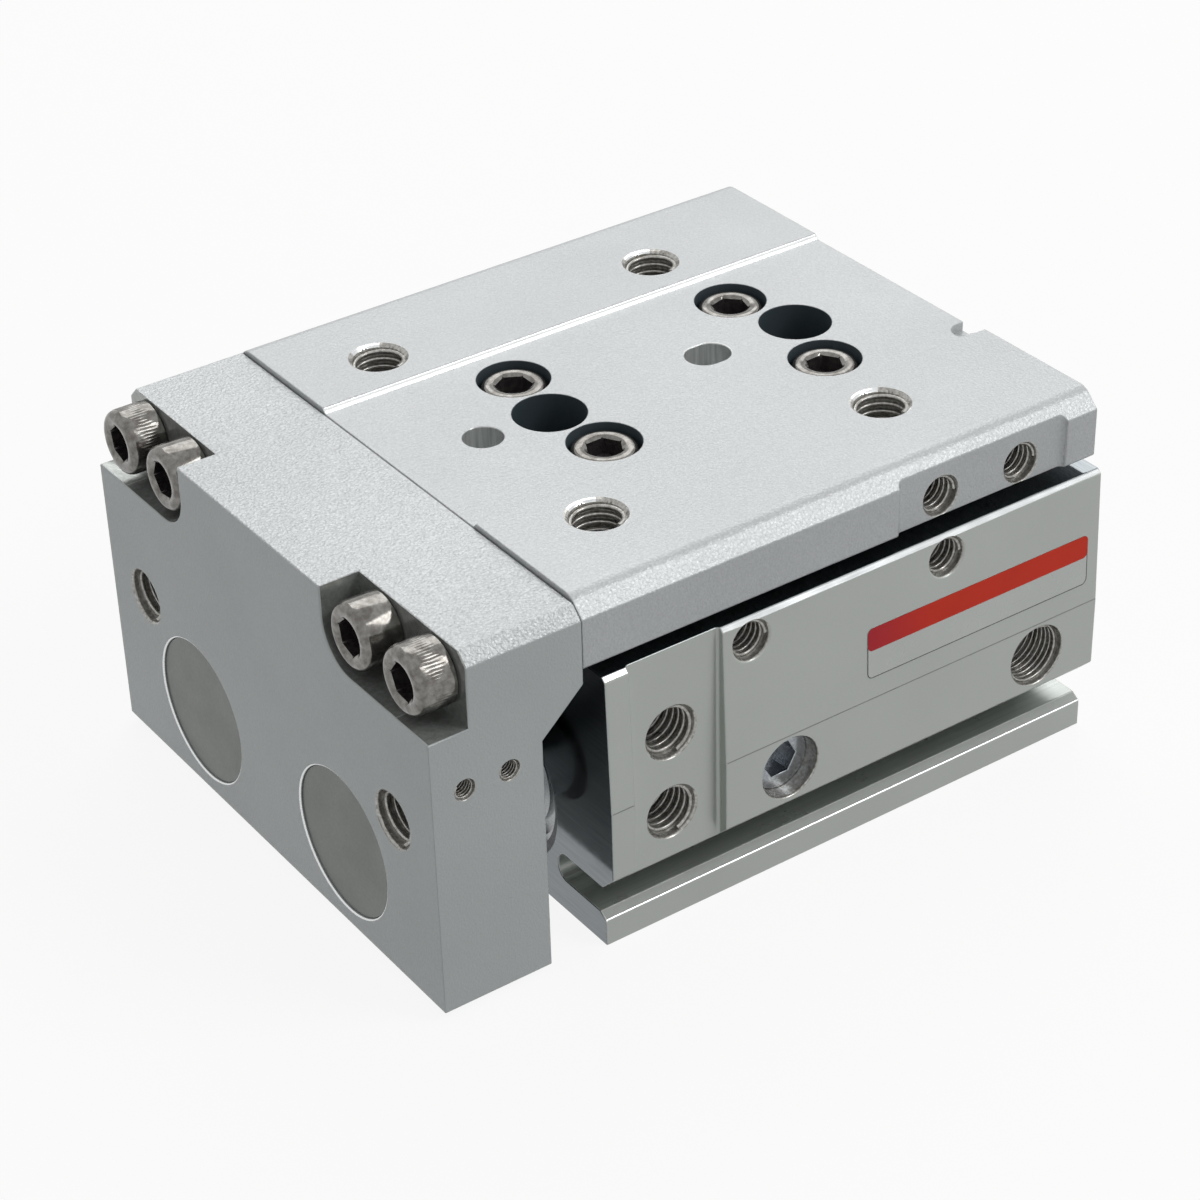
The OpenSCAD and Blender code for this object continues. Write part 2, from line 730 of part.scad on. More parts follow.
// End cap: joins the loaded and the returning stretch of both ball rows by half turns
module carriage_cap(x, direction) {
    color([0.1, 0.11, 0.12]) place() difference() {
        along_x(x, end_cap_t) carriage_outline(side_gap, web_gap, cap_w, carriage_top - cap_lower);
        for (side = [-1, 1]) {
            translate([direction > 0 ? x : x + end_cap_t, side * (load_y + return_y) / 2, ball_z])
                rotate([0, 0, direction > 0 ? -90 : 90]) rotate_extrude(angle = 180)
                    translate([turn_r, 0]) circle(r = track_r);
            round_x(x - cut, end_cap_t + 2 * cut, tiny_screw_d, side * cap_screw_y, cap_screw_z);
        }
    }
}

module carriage_cap_front() carriage_cap(block_x - end_cap_t, -1);

module carriage_cap_rear() carriage_cap(block_x + block_l, 1);

module carriage_seal(x) {
    color([0.16, 0.15, 0.15]) place() difference() {
        along_x(x, end_seal_t) carriage_outline(free_gap, free_gap, cap_w, carriage_top - cap_lower);
        for (side = [-1, 1])
            round_x(x - cut, end_seal_t + 2 * cut, tiny_screw_d, side * cap_screw_y, cap_screw_z);
    }
}

module carriage_seal_front() carriage_seal(block_x - end_cap_t - end_seal_t);

module carriage_seal_rear() carriage_seal(block_x + block_l + end_cap_t);

// One endless row of balls: along the rail, round the rear cap, back, round the front cap
module ball_row(side) {
    half_turn = PI * turn_r;
    loop_l = 2 * block_l + 2 * half_turn;
    count = floor(loop_l / (ball_d + 0.1));
    mid_y = (load_y + return_y) / 2;
    color([0.86, 0.87, 0.88]) place()
        for (i = [0 : count - 1]) {
            s = loop_l * i / count;
            back_s = s - block_l - half_turn;
            turn_a = s < block_l + half_turn ? (s - block_l) / turn_r : (back_s - block_l) / turn_r;
            deg = turn_a * 180 / PI;
            at = s < block_l ? [block_x + s, load_y]
                : s < block_l + half_turn
                ? [block_x + block_l + turn_r * sin(deg), mid_y - turn_r * cos(deg)]
                : back_s < block_l ? [block_x + block_l - back_s, return_y]
                : [block_x - turn_r * sin(deg), mid_y + turn_r * cos(deg)];
            translate([at[0], side * at[1], ball_z]) sphere(r = ball_r, $fn = 24);
        }
}

module carriage_screws() {
    color([0.3, 0.3, 0.32]) place()
        for (x = carriage_screws_x)
            translate([x, 0, low_seat_z]) cap_screw(carriage_screw_l, low_head_h);
}

// Small screws that hold the end seals and caps to the steel block
module cap_screws() {
    head_t = tiny_screw_d / 2;
    head_d = tiny_screw_d * 1.8;
    shank_d = tiny_screw_d - 2 * seat_fit;
    front_x = block_x - end_cap_t - end_seal_t;
    back_x = block_x + block_l + end_cap_t + end_seal_t;
    color([0.3, 0.3, 0.32]) place()
        for (side = [-1, 1]) {
            translate([0, side * cap_screw_y, cap_screw_z]) {
                round_x(front_x, tiny_screw_l, shank_d);
                round_x(front_x - head_t, head_t, head_d);
                round_x(back_x - tiny_screw_l, tiny_screw_l, shank_d);
                round_x(back_x, head_t, head_d);
            }
        }
}

module guide_rail() {
    groove_c = 0.5;
    hole_h = rail_h - 1;
    color([0.66, 0.67, 0.68]) place() difference() {
        along_x(rail_x, rail_l) polygon(both_sides([
            [rail_w / 2 - groove_c, rail_z], [rail_w / 2, rail_z + groove_c],
            [rail_w / 2, rail_top - groove_c], [rail_w / 2 - groove_c, rail_top]
        ]));
        for (side = [-1, 1]) round_x(rail_x - cut, rail_l + 2 * cut, 2 * track_r, side * load_y, ball_z);
        for (x = [access_x, access_x + access_lx])
            translate([x, 0, rail_z - cut]) cylinder(h = rail_h + 2 * cut, d = access_d);
        for (x = [rail_screw_x, rail_screw_x + rail_screw_lx])
            for (side = [-1, 1])
                translate([x, side * rail_screw_ly / 2, rail_top - hole_h])
                    cylinder(h = hole_h + cut, d = cap_screw_d);
    }
}

module rail_screws() {
    color([0.64, 0.63, 0.6]) place()
        for (x = [rail_screw_x, rail_screw_x + rail_screw_lx])
            for (side = [-1, 1])
                translate([x, side * rail_screw_ly / 2, rail_screw_seat]) cap_screw(rail_screw_l);
}

// ---------------------------------------------------------------- table

// Outline of the table, with the raised strips, the soft chamfers and the rail's seat
module table_outline() {
    seat_w = rail_w / 2 + 0.1;
    soft = edge_r * tan(22.5);
    polygon(both_sides(concat(
        [[seat_w, rail_top], [seat_w, under_z], [half_w - edge_break, under_z],
         [half_w, under_z + edge_break], [half_w, strip_z - edge_c]],
        arc(half_w - edge_c - soft, strip_z - edge_r, edge_r, 45, 90, 6),
        [[strip_y, strip_z], [strip_y - strip_h, band_z]]
    )));
}

module table() {
    big = 20;
    plate_thread_l = plate_screw_l - plate_t + pocket_l + 1.5;
    notch_r = 2.4;
    notch_x = table_back - 1.3;
    notch_y = strip_y - notch_r + 0.2;
    notch_h = 1.5;
    color([0.84, 0.85, 0.86]) place() difference() {
        along_x(plate_t, table_l) table_outline();
        // threads and locating holes in the top
        for (x = [table_thread_x, table_thread_x + table_thread_lx])
            for (side = [-1, 1])
                translate([x, side * table_thread_ly / 2, under_z - cut])
                    cylinder(h = big, d = big_thread_d);
        translate([table_thread_x, 0, band_z - dowel_hole_h]) cylinder(h = big, d = dowel_hole_d);
        for (end = [-1, 1])
            translate([table_thread_x + dowel_pitch + end * (dowel_slot_l - dowel_hole_d) / 2, 0,
                       band_z - dowel_hole_h])
                cylinder(h = big, d = dowel_hole_d);
        translate([table_thread_x + dowel_pitch - (dowel_slot_l - dowel_hole_d) / 2,
                   -dowel_hole_d / 2, band_z - dowel_hole_h])
            cube([dowel_slot_l - dowel_hole_d, dowel_hole_d, big]);
        // rail screws and access to the carriage screws
        for (x = [rail_screw_x, rail_screw_x + rail_screw_lx])
            for (side = [-1, 1])
                translate([x, side * rail_screw_ly / 2, 0]) {
                    translate([0, 0, under_z - cut])
                        cylinder(h = big, d = cap_screw_d + 2 * cap_screw_clear);
                    translate([0, 0, rail_screw_seat]) cylinder(h = big, d = counterbore_d);
                }
        for (x = [access_x, access_x + access_lx])
            translate([x, 0, under_z - cut]) cylinder(h = big, d = access_d);
        // recess and threads in the left side
        mirror([0, 1, 0]) translate([0, 0, under_z - cut])
            linear_extrude(height = table_t + 2 * cut)
                mill_plan(side_recess_x, side_recess_x + side_recess_l, half_w, side_recess_h, 1.2);
        for (x = [side_thread_x, side_thread_x + side_thread_lx])
            side_holes(x, under_z + side_thread_z, half_w - side_recess_h, 10, cap_screw_d);
        // end plate screws and pins
        for (y = [plate_screw_y, plate_screw_y + plate_screw_pitch])
            for (side = [-1, 1])
                round_x(plate_t - cut, plate_thread_l + cut, cap_screw_d, side * y, plate_screw_h);
        for (side = [-1, 1])
            round_x(plate_t - cut, pin_l / 2 + cut, pin_d, side * pin_y, plate_screw_h);
        // notch in the rear edge, beside the left strip
        translate([notch_x, -notch_y, band_z - notch_h]) cylinder(h = big, r = notch_r);
        translate([notch_x, -notch_y - notch_r, band_z - notch_h]) cube([big, 2 * notch_r, big]);
    }
}

pin_y = plate_screw_y / 2;
pin_l = 9;

module end_plate_pins() {
    color([0.75, 0.75, 0.76]) place()
        for (side = [-1, 1])
            round_x(plate_t - pin_l / 2, pin_l - 0.2, pin_d - 2 * seat_fit, side * pin_y, plate_screw_h);
}

// ---------------------------------------------------------------- end plate

module end_plate() {
    slope_z0 = under_z - 8.5;
    slope_z1 = under_z - 2.2;
    thread_l = 14;
    side_l = 6;
    corner = strip_z - edge_c;
    plate_c = band_z - corner;
    color([0.74, 0.76, 0.77]) place() difference() {
        intersection() {
            rotate([90, 0, 0]) linear_extrude(height = table_w, center = true)
                polygon([
                    [0, plate_lift], [plate_foot_t, plate_lift], [plate_foot_t, slope_z0],
                    [plate_t, slope_z1], [plate_t, band_z], [0, band_z]
                ]);
            along_x(-cut, plate_t + 2 * cut) polygon(both_sides([
                [half_w, 0], [half_w, corner], [half_w - plate_c, band_z]
            ]));
        }
        // pockets for the cap screws in the upper corners
        for (side = [0, 1]) mirror([0, side, 0]) along_x(-cut, pocket_l + cut) {
            translate([plate_screw_y, plate_screw_h]) circle(r = pocket_r);
            translate([plate_screw_y, plate_screw_h - pocket_r]) square([half_w, 2 * half_w]);
            translate([plate_screw_y - pocket_r, plate_screw_h]) square([half_w, half_w]);
        }
        for (y = [plate_screw_y, plate_screw_y + plate_screw_pitch])
            for (side = [-1, 1])
                round_x(-cut, plate_t + 2 * cut, cap_screw_d + 2 * cap_screw_clear,
                        side * y, plate_screw_h);
        for (side = [-1, 1]) {
            round_x(plate_t - pin_l / 2, pin_l, pin_d, side * pin_y, plate_screw_h);
            round_x(-cut, thread_l + cut, big_thread_d, side * front_thread_ly / 2, front_thread_z);
            // rod end: cover seat and nut cavity, clearance for the neck, seat of the rubber ring
            at_cylinder(side) {
                round_x(-cut, cavity_l + cut, cover_disc_d);
                round_x(0, plate_t, neck_d + 1);
                round_x(plate_foot_t - float_t, float_t + cut, float_d + 2 * seat_fit);
            }
        }
        for (x = [side_hole_x, side_hole_x + side_hole_pitch])
            side_holes(x, side_hole_z, half_w, side_l, small_thread_d);
    }
}

module end_plate_screws() {
    color([0.64, 0.63, 0.6]) place()
        for (y = [plate_screw_y, plate_screw_y + plate_screw_pitch])
            for (side = [-1, 1])
                translate([pocket_l, side * y, plate_screw_h])
                    rotate([0, -90, 0]) cap_screw(plate_screw_l);
}

// Cover over the rod end, with a step behind it that rests on the nut's cavity
module rod_end_cover(side) {
    color([0.55, 0.57, 0.57]) place() at_cylinder(side)
        round_x(0, cover_disc_t, cover_disc_d - 2 * seat_fit);
}

module rod_nut(side) {
    color([0.6, 0.6, 0.62]) place() at_cylinder(side) nut_x(nut_x, nut_h, nut_w);
}

module rod_washer(side) {
    color([0.6, 0.6, 0.62]) place() at_cylinder(side)
        ring_along_x(cavity_l - washer_t, washer_t, washer_d, neck_d);
}

module float_ring(side) {
    color([0.15, 0.15, 0.15]) place() at_cylinder(side)
        ring_along_x(plate_foot_t - float_t, float_t, float_d, neck_d);
}

// ---------------------------------------------------------------- nodes

body();
rod_cover(-1);  // rod_cover_left
rod_cover(1);  // rod_cover_right
rod_bush(-1);  // rod_bush_left
rod_bush(1);  // rod_bush_right
rod_seal(-1);  // rod_seal_left
rod_seal(1);  // rod_seal_right
cover_o_ring(-1);  // cover_o_ring_left
cover_o_ring(1);  // cover_o_ring_right
rod_bumper(-1);  // rod_bumper_left
rod_bumper(1);  // rod_bumper_right
head_bumper(-1);  // head_bumper_left
head_bumper(1);  // head_bumper_right
head_cover(-1);  // head_cover_left
head_cover(1);  // head_cover_right
head_o_ring(-1);  // head_o_ring_left
head_o_ring(1);  // head_o_ring_right
front_retaining_rings();
rear_retaining_rings();
port_plugs();
carriage();
carriage_cap_front();
carriage_cap_rear();
carriage_seal_front();
carriage_seal_rear();
ball_row(-1);  // ball_row_left
ball_row(1);  // ball_row_right
carriage_screws();
cap_screws();
table();
end_plate();
guide_rail();
rail_screws();
end_plate_screws();
end_plate_pins();
piston_rod(-1);  // piston_rod_left
piston_rod(1);  // piston_rod_right
piston(-1);  // piston_left
piston(1);  // piston_right
piston_seal(-1);  // piston_seal_left
piston_seal(1);  // piston_seal_right
piston_magnet(-1);  // piston_magnet_left
piston_magnet(1);  // piston_magnet_right
wear_ring(-1);  // wear_ring_left
wear_ring(1);  // wear_ring_right
piston_nut(-1);  // piston_nut_left
piston_nut(1);  // piston_nut_right
rod_washer(-1);  // rod_washer_left
rod_washer(1);  // rod_washer_right
rod_nut(-1);  // rod_nut_left
rod_nut(1);  // rod_nut_right
float_ring(-1);  // float_ring_left
float_ring(1);  // float_ring_right
rod_end_cover(-1);  // rod_end_cover_left
rod_end_cover(1);  // rod_end_cover_right
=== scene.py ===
# Pneumatic slide table: finishes, edge breaks, countersinks, threads, screws and label
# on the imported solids. Lengths are written in millimetres and turned to metres by mm().
import json
import math

import bmesh
import bpy
from mathutils import Matrix, Vector


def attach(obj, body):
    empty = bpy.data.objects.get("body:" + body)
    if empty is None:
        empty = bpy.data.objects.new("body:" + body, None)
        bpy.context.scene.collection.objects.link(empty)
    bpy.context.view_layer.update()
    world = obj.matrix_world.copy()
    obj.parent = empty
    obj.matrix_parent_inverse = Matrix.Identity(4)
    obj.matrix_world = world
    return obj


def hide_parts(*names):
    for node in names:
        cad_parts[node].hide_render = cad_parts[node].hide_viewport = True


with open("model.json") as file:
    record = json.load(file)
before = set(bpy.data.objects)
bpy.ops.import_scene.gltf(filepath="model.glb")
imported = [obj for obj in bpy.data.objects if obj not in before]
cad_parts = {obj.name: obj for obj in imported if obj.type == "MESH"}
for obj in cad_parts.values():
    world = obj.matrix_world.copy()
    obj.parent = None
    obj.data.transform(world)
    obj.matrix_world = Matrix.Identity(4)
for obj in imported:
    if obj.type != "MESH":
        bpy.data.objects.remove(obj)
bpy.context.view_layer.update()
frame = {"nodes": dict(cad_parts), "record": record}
NODES = frame["nodes"]
BODY_OF = {n: b for b, names in frame["record"]["behaviour"]["bodies"].items() for n in names}
SLOT_OF = {row["node"]: row["material_slot"] for row in frame["record"]["subparts"]}
SEED = 7


def mm(*lengths):
    """Millimetres to metres: one length, or a Vector of three."""
    return lengths[0] / 1000 if len(lengths) == 1 else Vector(lengths) / 1000


def linear(hex_colour):
    """An sRGB hex value as linear RGBA."""
    rgb = [int(hex_colour[i:i + 2], 16) / 255 for i in (1, 3, 5)]
    return tuple(c / 12.92 if c <= 0.04045 else ((c + 0.055) / 1.055) ** 2.4 for c in rgb) + (1.0,)


# ---------------------------------------------------------------- camera

VIEW_AZIMUTH, VIEW_ELEVATION, VIEW_ROLL = -34.488, 33.133, -1.63
camera_data = bpy.data.cameras.new("camera")
camera_data.sensor_width = 36
camera_data.lens = 36 * 3132.2 / 1200
camera_data.clip_start, camera_data.clip_end = 0.01, 10
camera = bpy.data.objects.new("camera", camera_data)
bpy.context.scene.collection.objects.link(camera)
a, e, r = (math.radians(v) for v in (VIEW_AZIMUTH, VIEW_ELEVATION, VIEW_ROLL))
back = Vector((math.sin(a) * math.cos(e), -math.cos(a) * math.cos(e), math.sin(e)))
right = Vector((math.cos(a), math.sin(a), 0))
up = back.cross(right)
right, up = math.cos(r) * right + math.sin(r) * up, -math.sin(r) * right + math.cos(r) * up
turn = Matrix((right, up, back)).transposed().to_4x4()
camera.matrix_world = Matrix.Translation(mm(-224.4, -327.2, 281.4)) @ turn
bpy.context.scene.camera = camera

# ---------------------------------------------------------------- materials


def node(tree, kind, inputs=(), **settings):
    """Adds a node with its settings, and links or sets its inputs given as (socket, value)."""
    made = tree.nodes.new(kind)
    for name, value in settings.items():
        setattr(made, name, value)
    for socket, value in dict(inputs).items():
        target = made.inputs[socket]
        if isinstance(value, bpy.types.NodeSocket):
            tree.links.new(value, target)
        else:
            target.default_value = value
    return made


def finish_of(name, **shader):
    """A material with a bare Principled shader; returns the material, its tree and the shader."""
    material = bpy.data.materials.new(name)
    material.use_nodes = True
    tree = material.node_tree
    bsdf = tree.nodes["Principled BSDF"]
    for socket, value in shader.items():
        bsdf.inputs[socket.replace("_", " ")].default_value = value
    return material, tree, bsdf


def blasted_aluminium(name, tone, grain_mm=0.3, contrast=0.04, rough=(0.32, 0.46), relief_mm=0.03,
                      metallic=0.3, cloud=0.03):
    """Aluminium, bead-blasted and clear-anodised. The oxide scatters most of the light, so it is an even,
    soft grey; the blast leaves small craters that glitter where a lamp strikes them at a slant, and there
    are faint clouds a few centimetres wide. The real craters are about 0.1 mm; grain_mm draws them as
    coarse as they need to be to show. contrast and cloud are the shares by which grains and clouds differ."""
    material, tree, bsdf = finish_of(name, Metallic=metallic)
    at = node(tree, "ShaderNodeTexCoord").outputs["Object"]
    grit = node(tree, "ShaderNodeTexNoise", {"Vector": at, "Scale": 1000 / grain_mm,
                                             "Detail": 2.0, "Roughness": 0.6}).outputs[0]
    craters = node(tree, "ShaderNodeTexVoronoi",
                   {"Vector": at, "Scale": 1000 / (1.3 * grain_mm)}).outputs[0]
    clouds = node(tree, "ShaderNodeTexNoise", {"Vector": at, "Scale": 1000 / 22, "Detail": 3.0}).outputs[0]
    grain = node(tree, "ShaderNodeMapRange", {0: grit, 1: 0.34, 2: 0.66, 3: 1 - contrast, 4: 1 + contrast})
    dull = node(tree, "ShaderNodeMapRange", {0: clouds, 1: 0.3, 2: 0.7, 3: 1 - cloud, 4: 1 + cloud})
    both = node(tree, "ShaderNodeMath", {0: grain.outputs[0], 1: dull.outputs[0]}, operation="MULTIPLY")
    shade = node(tree, "ShaderNodeVectorMath", {0: linear(tone)[:3], "Scale": both.outputs[0]},
                 operation="SCALE")
    polish = node(tree, "ShaderNodeMapRange", {0: craters, 1: 0.1, 2: 0.7, 3: rough[0], 4: rough[1]})
    height = node(tree, "ShaderNodeMath", {0: grit, 1: craters}, operation="ADD")
    relief = node(tree, "ShaderNodeBump", {"Height": height.outputs[0], "Strength": 1.0,
                                           "Distance": mm(relief_mm)})
    tree.links.new(shade.outputs[0], bsdf.inputs["Base Color"])
    tree.links.new(polish.outputs[0], bsdf.inputs["Roughness"])
    tree.links.new(relief.outputs[0], bsdf.inputs["Normal"])
    return material


def worked_metal(name, tone, other, line_mm, rough, stretch=(1, 1, 1), metallic=1.0, relief_mm=0.002):
    """Bare or plated metal with fine tool marks, drawn out along an axis by stretch; the tool leaves
    some of its lines darker than others, and patches a few millimetres wide duller than the rest."""
    material, tree, bsdf = finish_of(name, Metallic=metallic)
    at = node(tree, "ShaderNodeTexCoord").outputs["Object"]
    run = node(tree, "ShaderNodeMapping", {"Vector": at, "Scale": [1 / s for s in stretch]})
    lines = node(tree, "ShaderNodeTexNoise", {"Vector": run.outputs[0], "Scale": 1000 / line_mm,
                                              "Detail": 3.0, "Roughness": 0.6}).outputs[0]
    patch = node(tree, "ShaderNodeTexNoise", {"Vector": at, "Scale": 1000 / 5, "Detail": 2.0}).outputs[0]
    fac = node(tree, "ShaderNodeMapRange", {0: lines, 1: 0.35, 2: 0.65, 3: 0.0, 4: 1.0})
    shade = node(tree, "ShaderNodeMix", {0: fac.outputs[0], 6: linear(tone), 7: linear(other)},
                 data_type="RGBA")
    polish = node(tree, "ShaderNodeMapRange", {0: patch, 1: 0.3, 2: 0.7, 3: rough[0], 4: rough[1]})
    relief = node(tree, "ShaderNodeBump", {"Height": lines, "Strength": 1.0, "Distance": mm(relief_mm)})
    tree.links.new(shade.outputs[2], bsdf.inputs["Base Color"])
    tree.links.new(polish.outputs[0], bsdf.inputs["Roughness"])
    tree.links.new(relief.outputs[0], bsdf.inputs["Normal"])
    return material


def moulded(name, tone, other, rough, grain_mm=0.35, relief_mm=0.004, gloss=0.5):
    """Moulded rubber or plastic, or a printed film: one colour with a faint bloom, and the fine skin of
    its mould. gloss is the shader's specular level."""
    material, tree, bsdf = finish_of(name, Metallic=0.0, Specular_IOR_Level=gloss)
    at = node(tree, "ShaderNodeTexCoord").outputs["Object"]
    skin = node(tree, "ShaderNodeTexNoise",
                {"Vector": at, "Scale": 1000 / grain_mm, "Detail": 3.0}).outputs[0]
    bloom = node(tree, "ShaderNodeTexNoise", {"Vector": at, "Scale": 1000 / 9, "Detail": 2.0}).outputs[0]
    fac = node(tree, "ShaderNodeMapRange", {0: bloom, 1: 0.3, 2: 0.7, 3: 0.0, 4: 1.0})
    shade = node(tree, "ShaderNodeMix", {0: fac.outputs[0], 6: linear(tone), 7: linear(other)},
                 data_type="RGBA")
    polish = node(tree, "ShaderNodeMapRange", {0: skin, 1: 0.3, 2: 0.7, 3: rough[0], 4: rough[1]})
    relief = node(tree, "ShaderNodeBump", {"Height": skin, "Strength": 1.0, "Distance": mm(relief_mm)})
    tree.links.new(shade.outputs[2], bsdf.inputs["Base Color"])
    tree.links.new(polish.outputs[0], bsdf.inputs["Roughness"])
    tree.links.new(relief.outputs[0], bsdf.inputs["Normal"])
    return material


FINISH = {
    # the table: blasted and anodised, so pale and evenly matt with a fine grit
    "table_aluminium": blasted_aluminium("blasted_anodised_aluminium_table", "#C1C4C5", grain_mm=0.32,
                                         contrast=0.06, relief_mm=0.04),
    # the end plate: the same blast; its front and sides are smoother than the table's
    "plate_aluminium": blasted_aluminium("blasted_anodised_aluminium_plate", "#BFC4C4", grain_mm=0.3,
                                         contrast=0.03, relief_mm=0.03, metallic=0.26),
    # the body: extruded, its skin smoother than the table's and slightly warm
    "body_aluminium": blasted_aluminium("extruded_anodised_aluminium_body", "#C4C8C3", grain_mm=0.25,
                                        contrast=0.015, rough=(0.28, 0.36), relief_mm=0.003, metallic=0.3),
    # the discs over the rod nuts: turned and not blasted, so smoother and duller than the plate round them
    "disc_aluminium": worked_metal("turned_anodised_aluminium_disc", "#727672", "#6A6E69", 0.5, (0.3, 0.38),
                                   metallic=0.45),
    # the covers at the cylinders' ends: turned
    "cover_aluminium": worked_metal("turned_anodised_aluminium_cover", "#C4C7C8", "#A9ADAF",
                                    0.3, (0.28, 0.4)),
    # sintered bronze: brown-gold, with open pores
    "bush_bronze": worked_metal("sintered_bronze", "#A9763F", "#7E5429", 0.3, (0.35, 0.5), relief_mm=0.01),
    # nitrile rubber: near black and dull
    "seal_rubber": moulded("nitrile_rubber", "#1B1C1D", "#232425", (0.45, 0.6)),
    # polyurethane: dull pale amber
    "bumper_plastic": moulded("polyurethane", "#DDCEAA", "#D3C39C", (0.35, 0.5)),
    # phosphated spring steel: dark grey, slightly oily
    "spring_steel": worked_metal("phosphated_spring_steel", "#3B3C3E", "#55575A", 0.4, (0.3, 0.45)),
    # zinc plate: grey with a faint blue, glossy where the plug's face is smooth
    "plug_steel": worked_metal("zinc_plated_steel", "#A2A6AA", "#888C91", 0.5, (0.2, 0.3)),
    # ground bearing steel: bright, with lines along the rail
    "guide_steel": worked_metal("ground_bearing_steel", "#B4B7B9", "#8E9295", 0.2, (0.16, 0.28),
                                stretch=(60, 1, 1)),
    # acetal: near black with a soft gloss
    "cap_plastic": moulded("acetal", "#20252B", "#272C33", (0.3, 0.45)),
    # polished balls: mirrors
    "ball_steel": worked_metal("polished_ball_steel", "#D9DBDD", "#C8CACC",
                               0.5, (0.05, 0.1), relief_mm=0.0002),
    # blackened steel: near black with a metal's highlights
    "black_screw_steel": worked_metal("blackened_steel", "#202123", "#343639", 0.3, (0.3, 0.42)),
    # stainless steel: warm grey, smooth, with soft stains of oil that is left on it
    "screw_steel": worked_metal("stainless_steel_screw", "#CDCDC9", "#B6B5AF",
                                1.6, (0.14, 0.26), metallic=0.5,
                                relief_mm=0.004),
    # ground and hardened pins: bright, with lines along them
    "pin_steel": worked_metal("ground_hardened_steel", "#C2C5C7", "#A2A6A8", 0.2, (0.12, 0.22),
                              stretch=(40, 1, 1)),
    # hard chrome: a mirror
    "rod_chrome": worked_metal("hard_chrome_plate", "#DADCDE", "#C6C9CC",
                               0.2, (0.06, 0.12), relief_mm=0.0004),
    # bonded ferrite: matt charcoal
    "magnet_plastic": moulded("bonded_ferrite", "#2A2B2D", "#343537", (0.5, 0.65)),
    # filled PTFE: waxy dark brown
    "wear_plastic": moulded("filled_ptfe", "#3E3A33", "#4B463D", (0.4, 0.55)),
    # yellow zinc plate: straw gold
    "nut_steel": worked_metal("yellow_zinc_plated_steel", "#B8A878", "#9C8A58", 0.3, (0.25, 0.4)),
}
# cut threads: bare metal, the anodised skin tapped away, with cutting oil in the roots
THREAD_METAL = worked_metal("tapped_aluminium_thread", "#C3C3C0", "#97938C", 0.5, (0.22, 0.36), metallic=0.6)
# milled after the blast: a smooth cut, with a painted highlight: a pale tone that shows as a white line of
# light
PALE_CUT_HIGHLIGHT = worked_metal("milled_bright_aluminium", "#E2E4E4", "#CFD1D2", 0.18, (0.2, 0.3), stretch=(40, 1, 1))
# the body's long chamfer: cut with a satin finish, so a softer line
SATIN = worked_metal("satin_milled_aluminium_chamfer", "#B4B7B7", "#A2A5A6", 0.3, (0.4, 0.5),
                     stretch=(40, 1, 1), metallic=0.7)
# the table's chamfers: blasted after milling, with a painted highlight: a lighter tone than its faces
CHAMFER_HIGHLIGHT = blasted_aluminium("blasted_aluminium_chamfer", "#D2D5D6", grain_mm=0.36, contrast=0.1,
                            rough=(0.36, 0.48), relief_mm=0.05, metallic=0.26)
# the end plate's top: blasted with a coarser grit, which glitters under the lamp, and painted lighter than
# its sides as top light
COARSE_TOP_LIGHT = blasted_aluminium("coarse_blasted_aluminium_plate", "#C9CCCD", grain_mm=0.36, contrast=0.13,
                           relief_mm=0.1, metallic=0.32)
# reamed for a pin: smooth grey walls that mirror each other
REAMED = worked_metal("reamed_aluminium_bore", "#D6D9D8", "#B9BCBB", 0.4, (0.2, 0.3), stretch=(1, 1, 20),
                      metallic=0.5)
# faces milled before anodising: smooth, so that in a narrow gap they mirror its dark; their darker tone is
# painted shade for the gaps round the body
SMOOTH_GAP_SHADE = worked_metal("milled_anodised_aluminium_end", "#7F8486", "#71767A", 0.25, (0.06, 0.12),
                          stretch=(1, 40, 1), relief_mm=0.001)
# the screws' rounded edge: glossier than their turned faces, with a painted reflection: a darker tone for the
# dark band that the edge mirrors
HEAD_EDGE_REFLECTION = worked_metal("forged_stainless_steel_edge", "#8B8985", "#66635F",
                           1.2, (0.1, 0.18), metallic=0.8,
                           relief_mm=0.004)
# the foot's ledge: drawn smooth by the die, so that it mirrors what stands over it
LEDGE = worked_metal("extruded_smooth_aluminium_ledge", "#B6BBB7", "#A9AEAA", 0.4, (0.26, 0.34),
                     stretch=(60, 1, 1), metallic=0.6)
# the foot's sloping edge: drawn too, dull, with painted shade: a darker tone that keeps the upward slope dim
LEDGE_EDGE_SHADE = blasted_aluminium("extruded_dull_aluminium_edge", "#A9ADA9", grain_mm=0.3, contrast=0.02,
                               rough=(0.45, 0.55), relief_mm=0.003, metallic=0.1)
# the thin facet where the body's side steps at its crease: painted shade, a tone darker
CREASE_SHADE = moulded("anodised_die_line", "#9FA29E", "#989B97", (0.4, 0.5))
# the narrow joint between end plate and table: painted shade, a dark line along the gap
JOINT_SHADE = moulded("dusty_joint", "#6F7274", "#808385", (0.5, 0.6))
# sockets and deep drilled holes: painted shade, near black, with a dull gloss
SOCKET_SHADE = worked_metal("oiled_broached_socket", "#6A6462", "#4B474C", 1.0, (0.2, 0.34), metallic=0.7)
BORE_SHADE = moulded("oiled_drilled_bore", "#384349", "#3B464C", (0.5, 0.65))


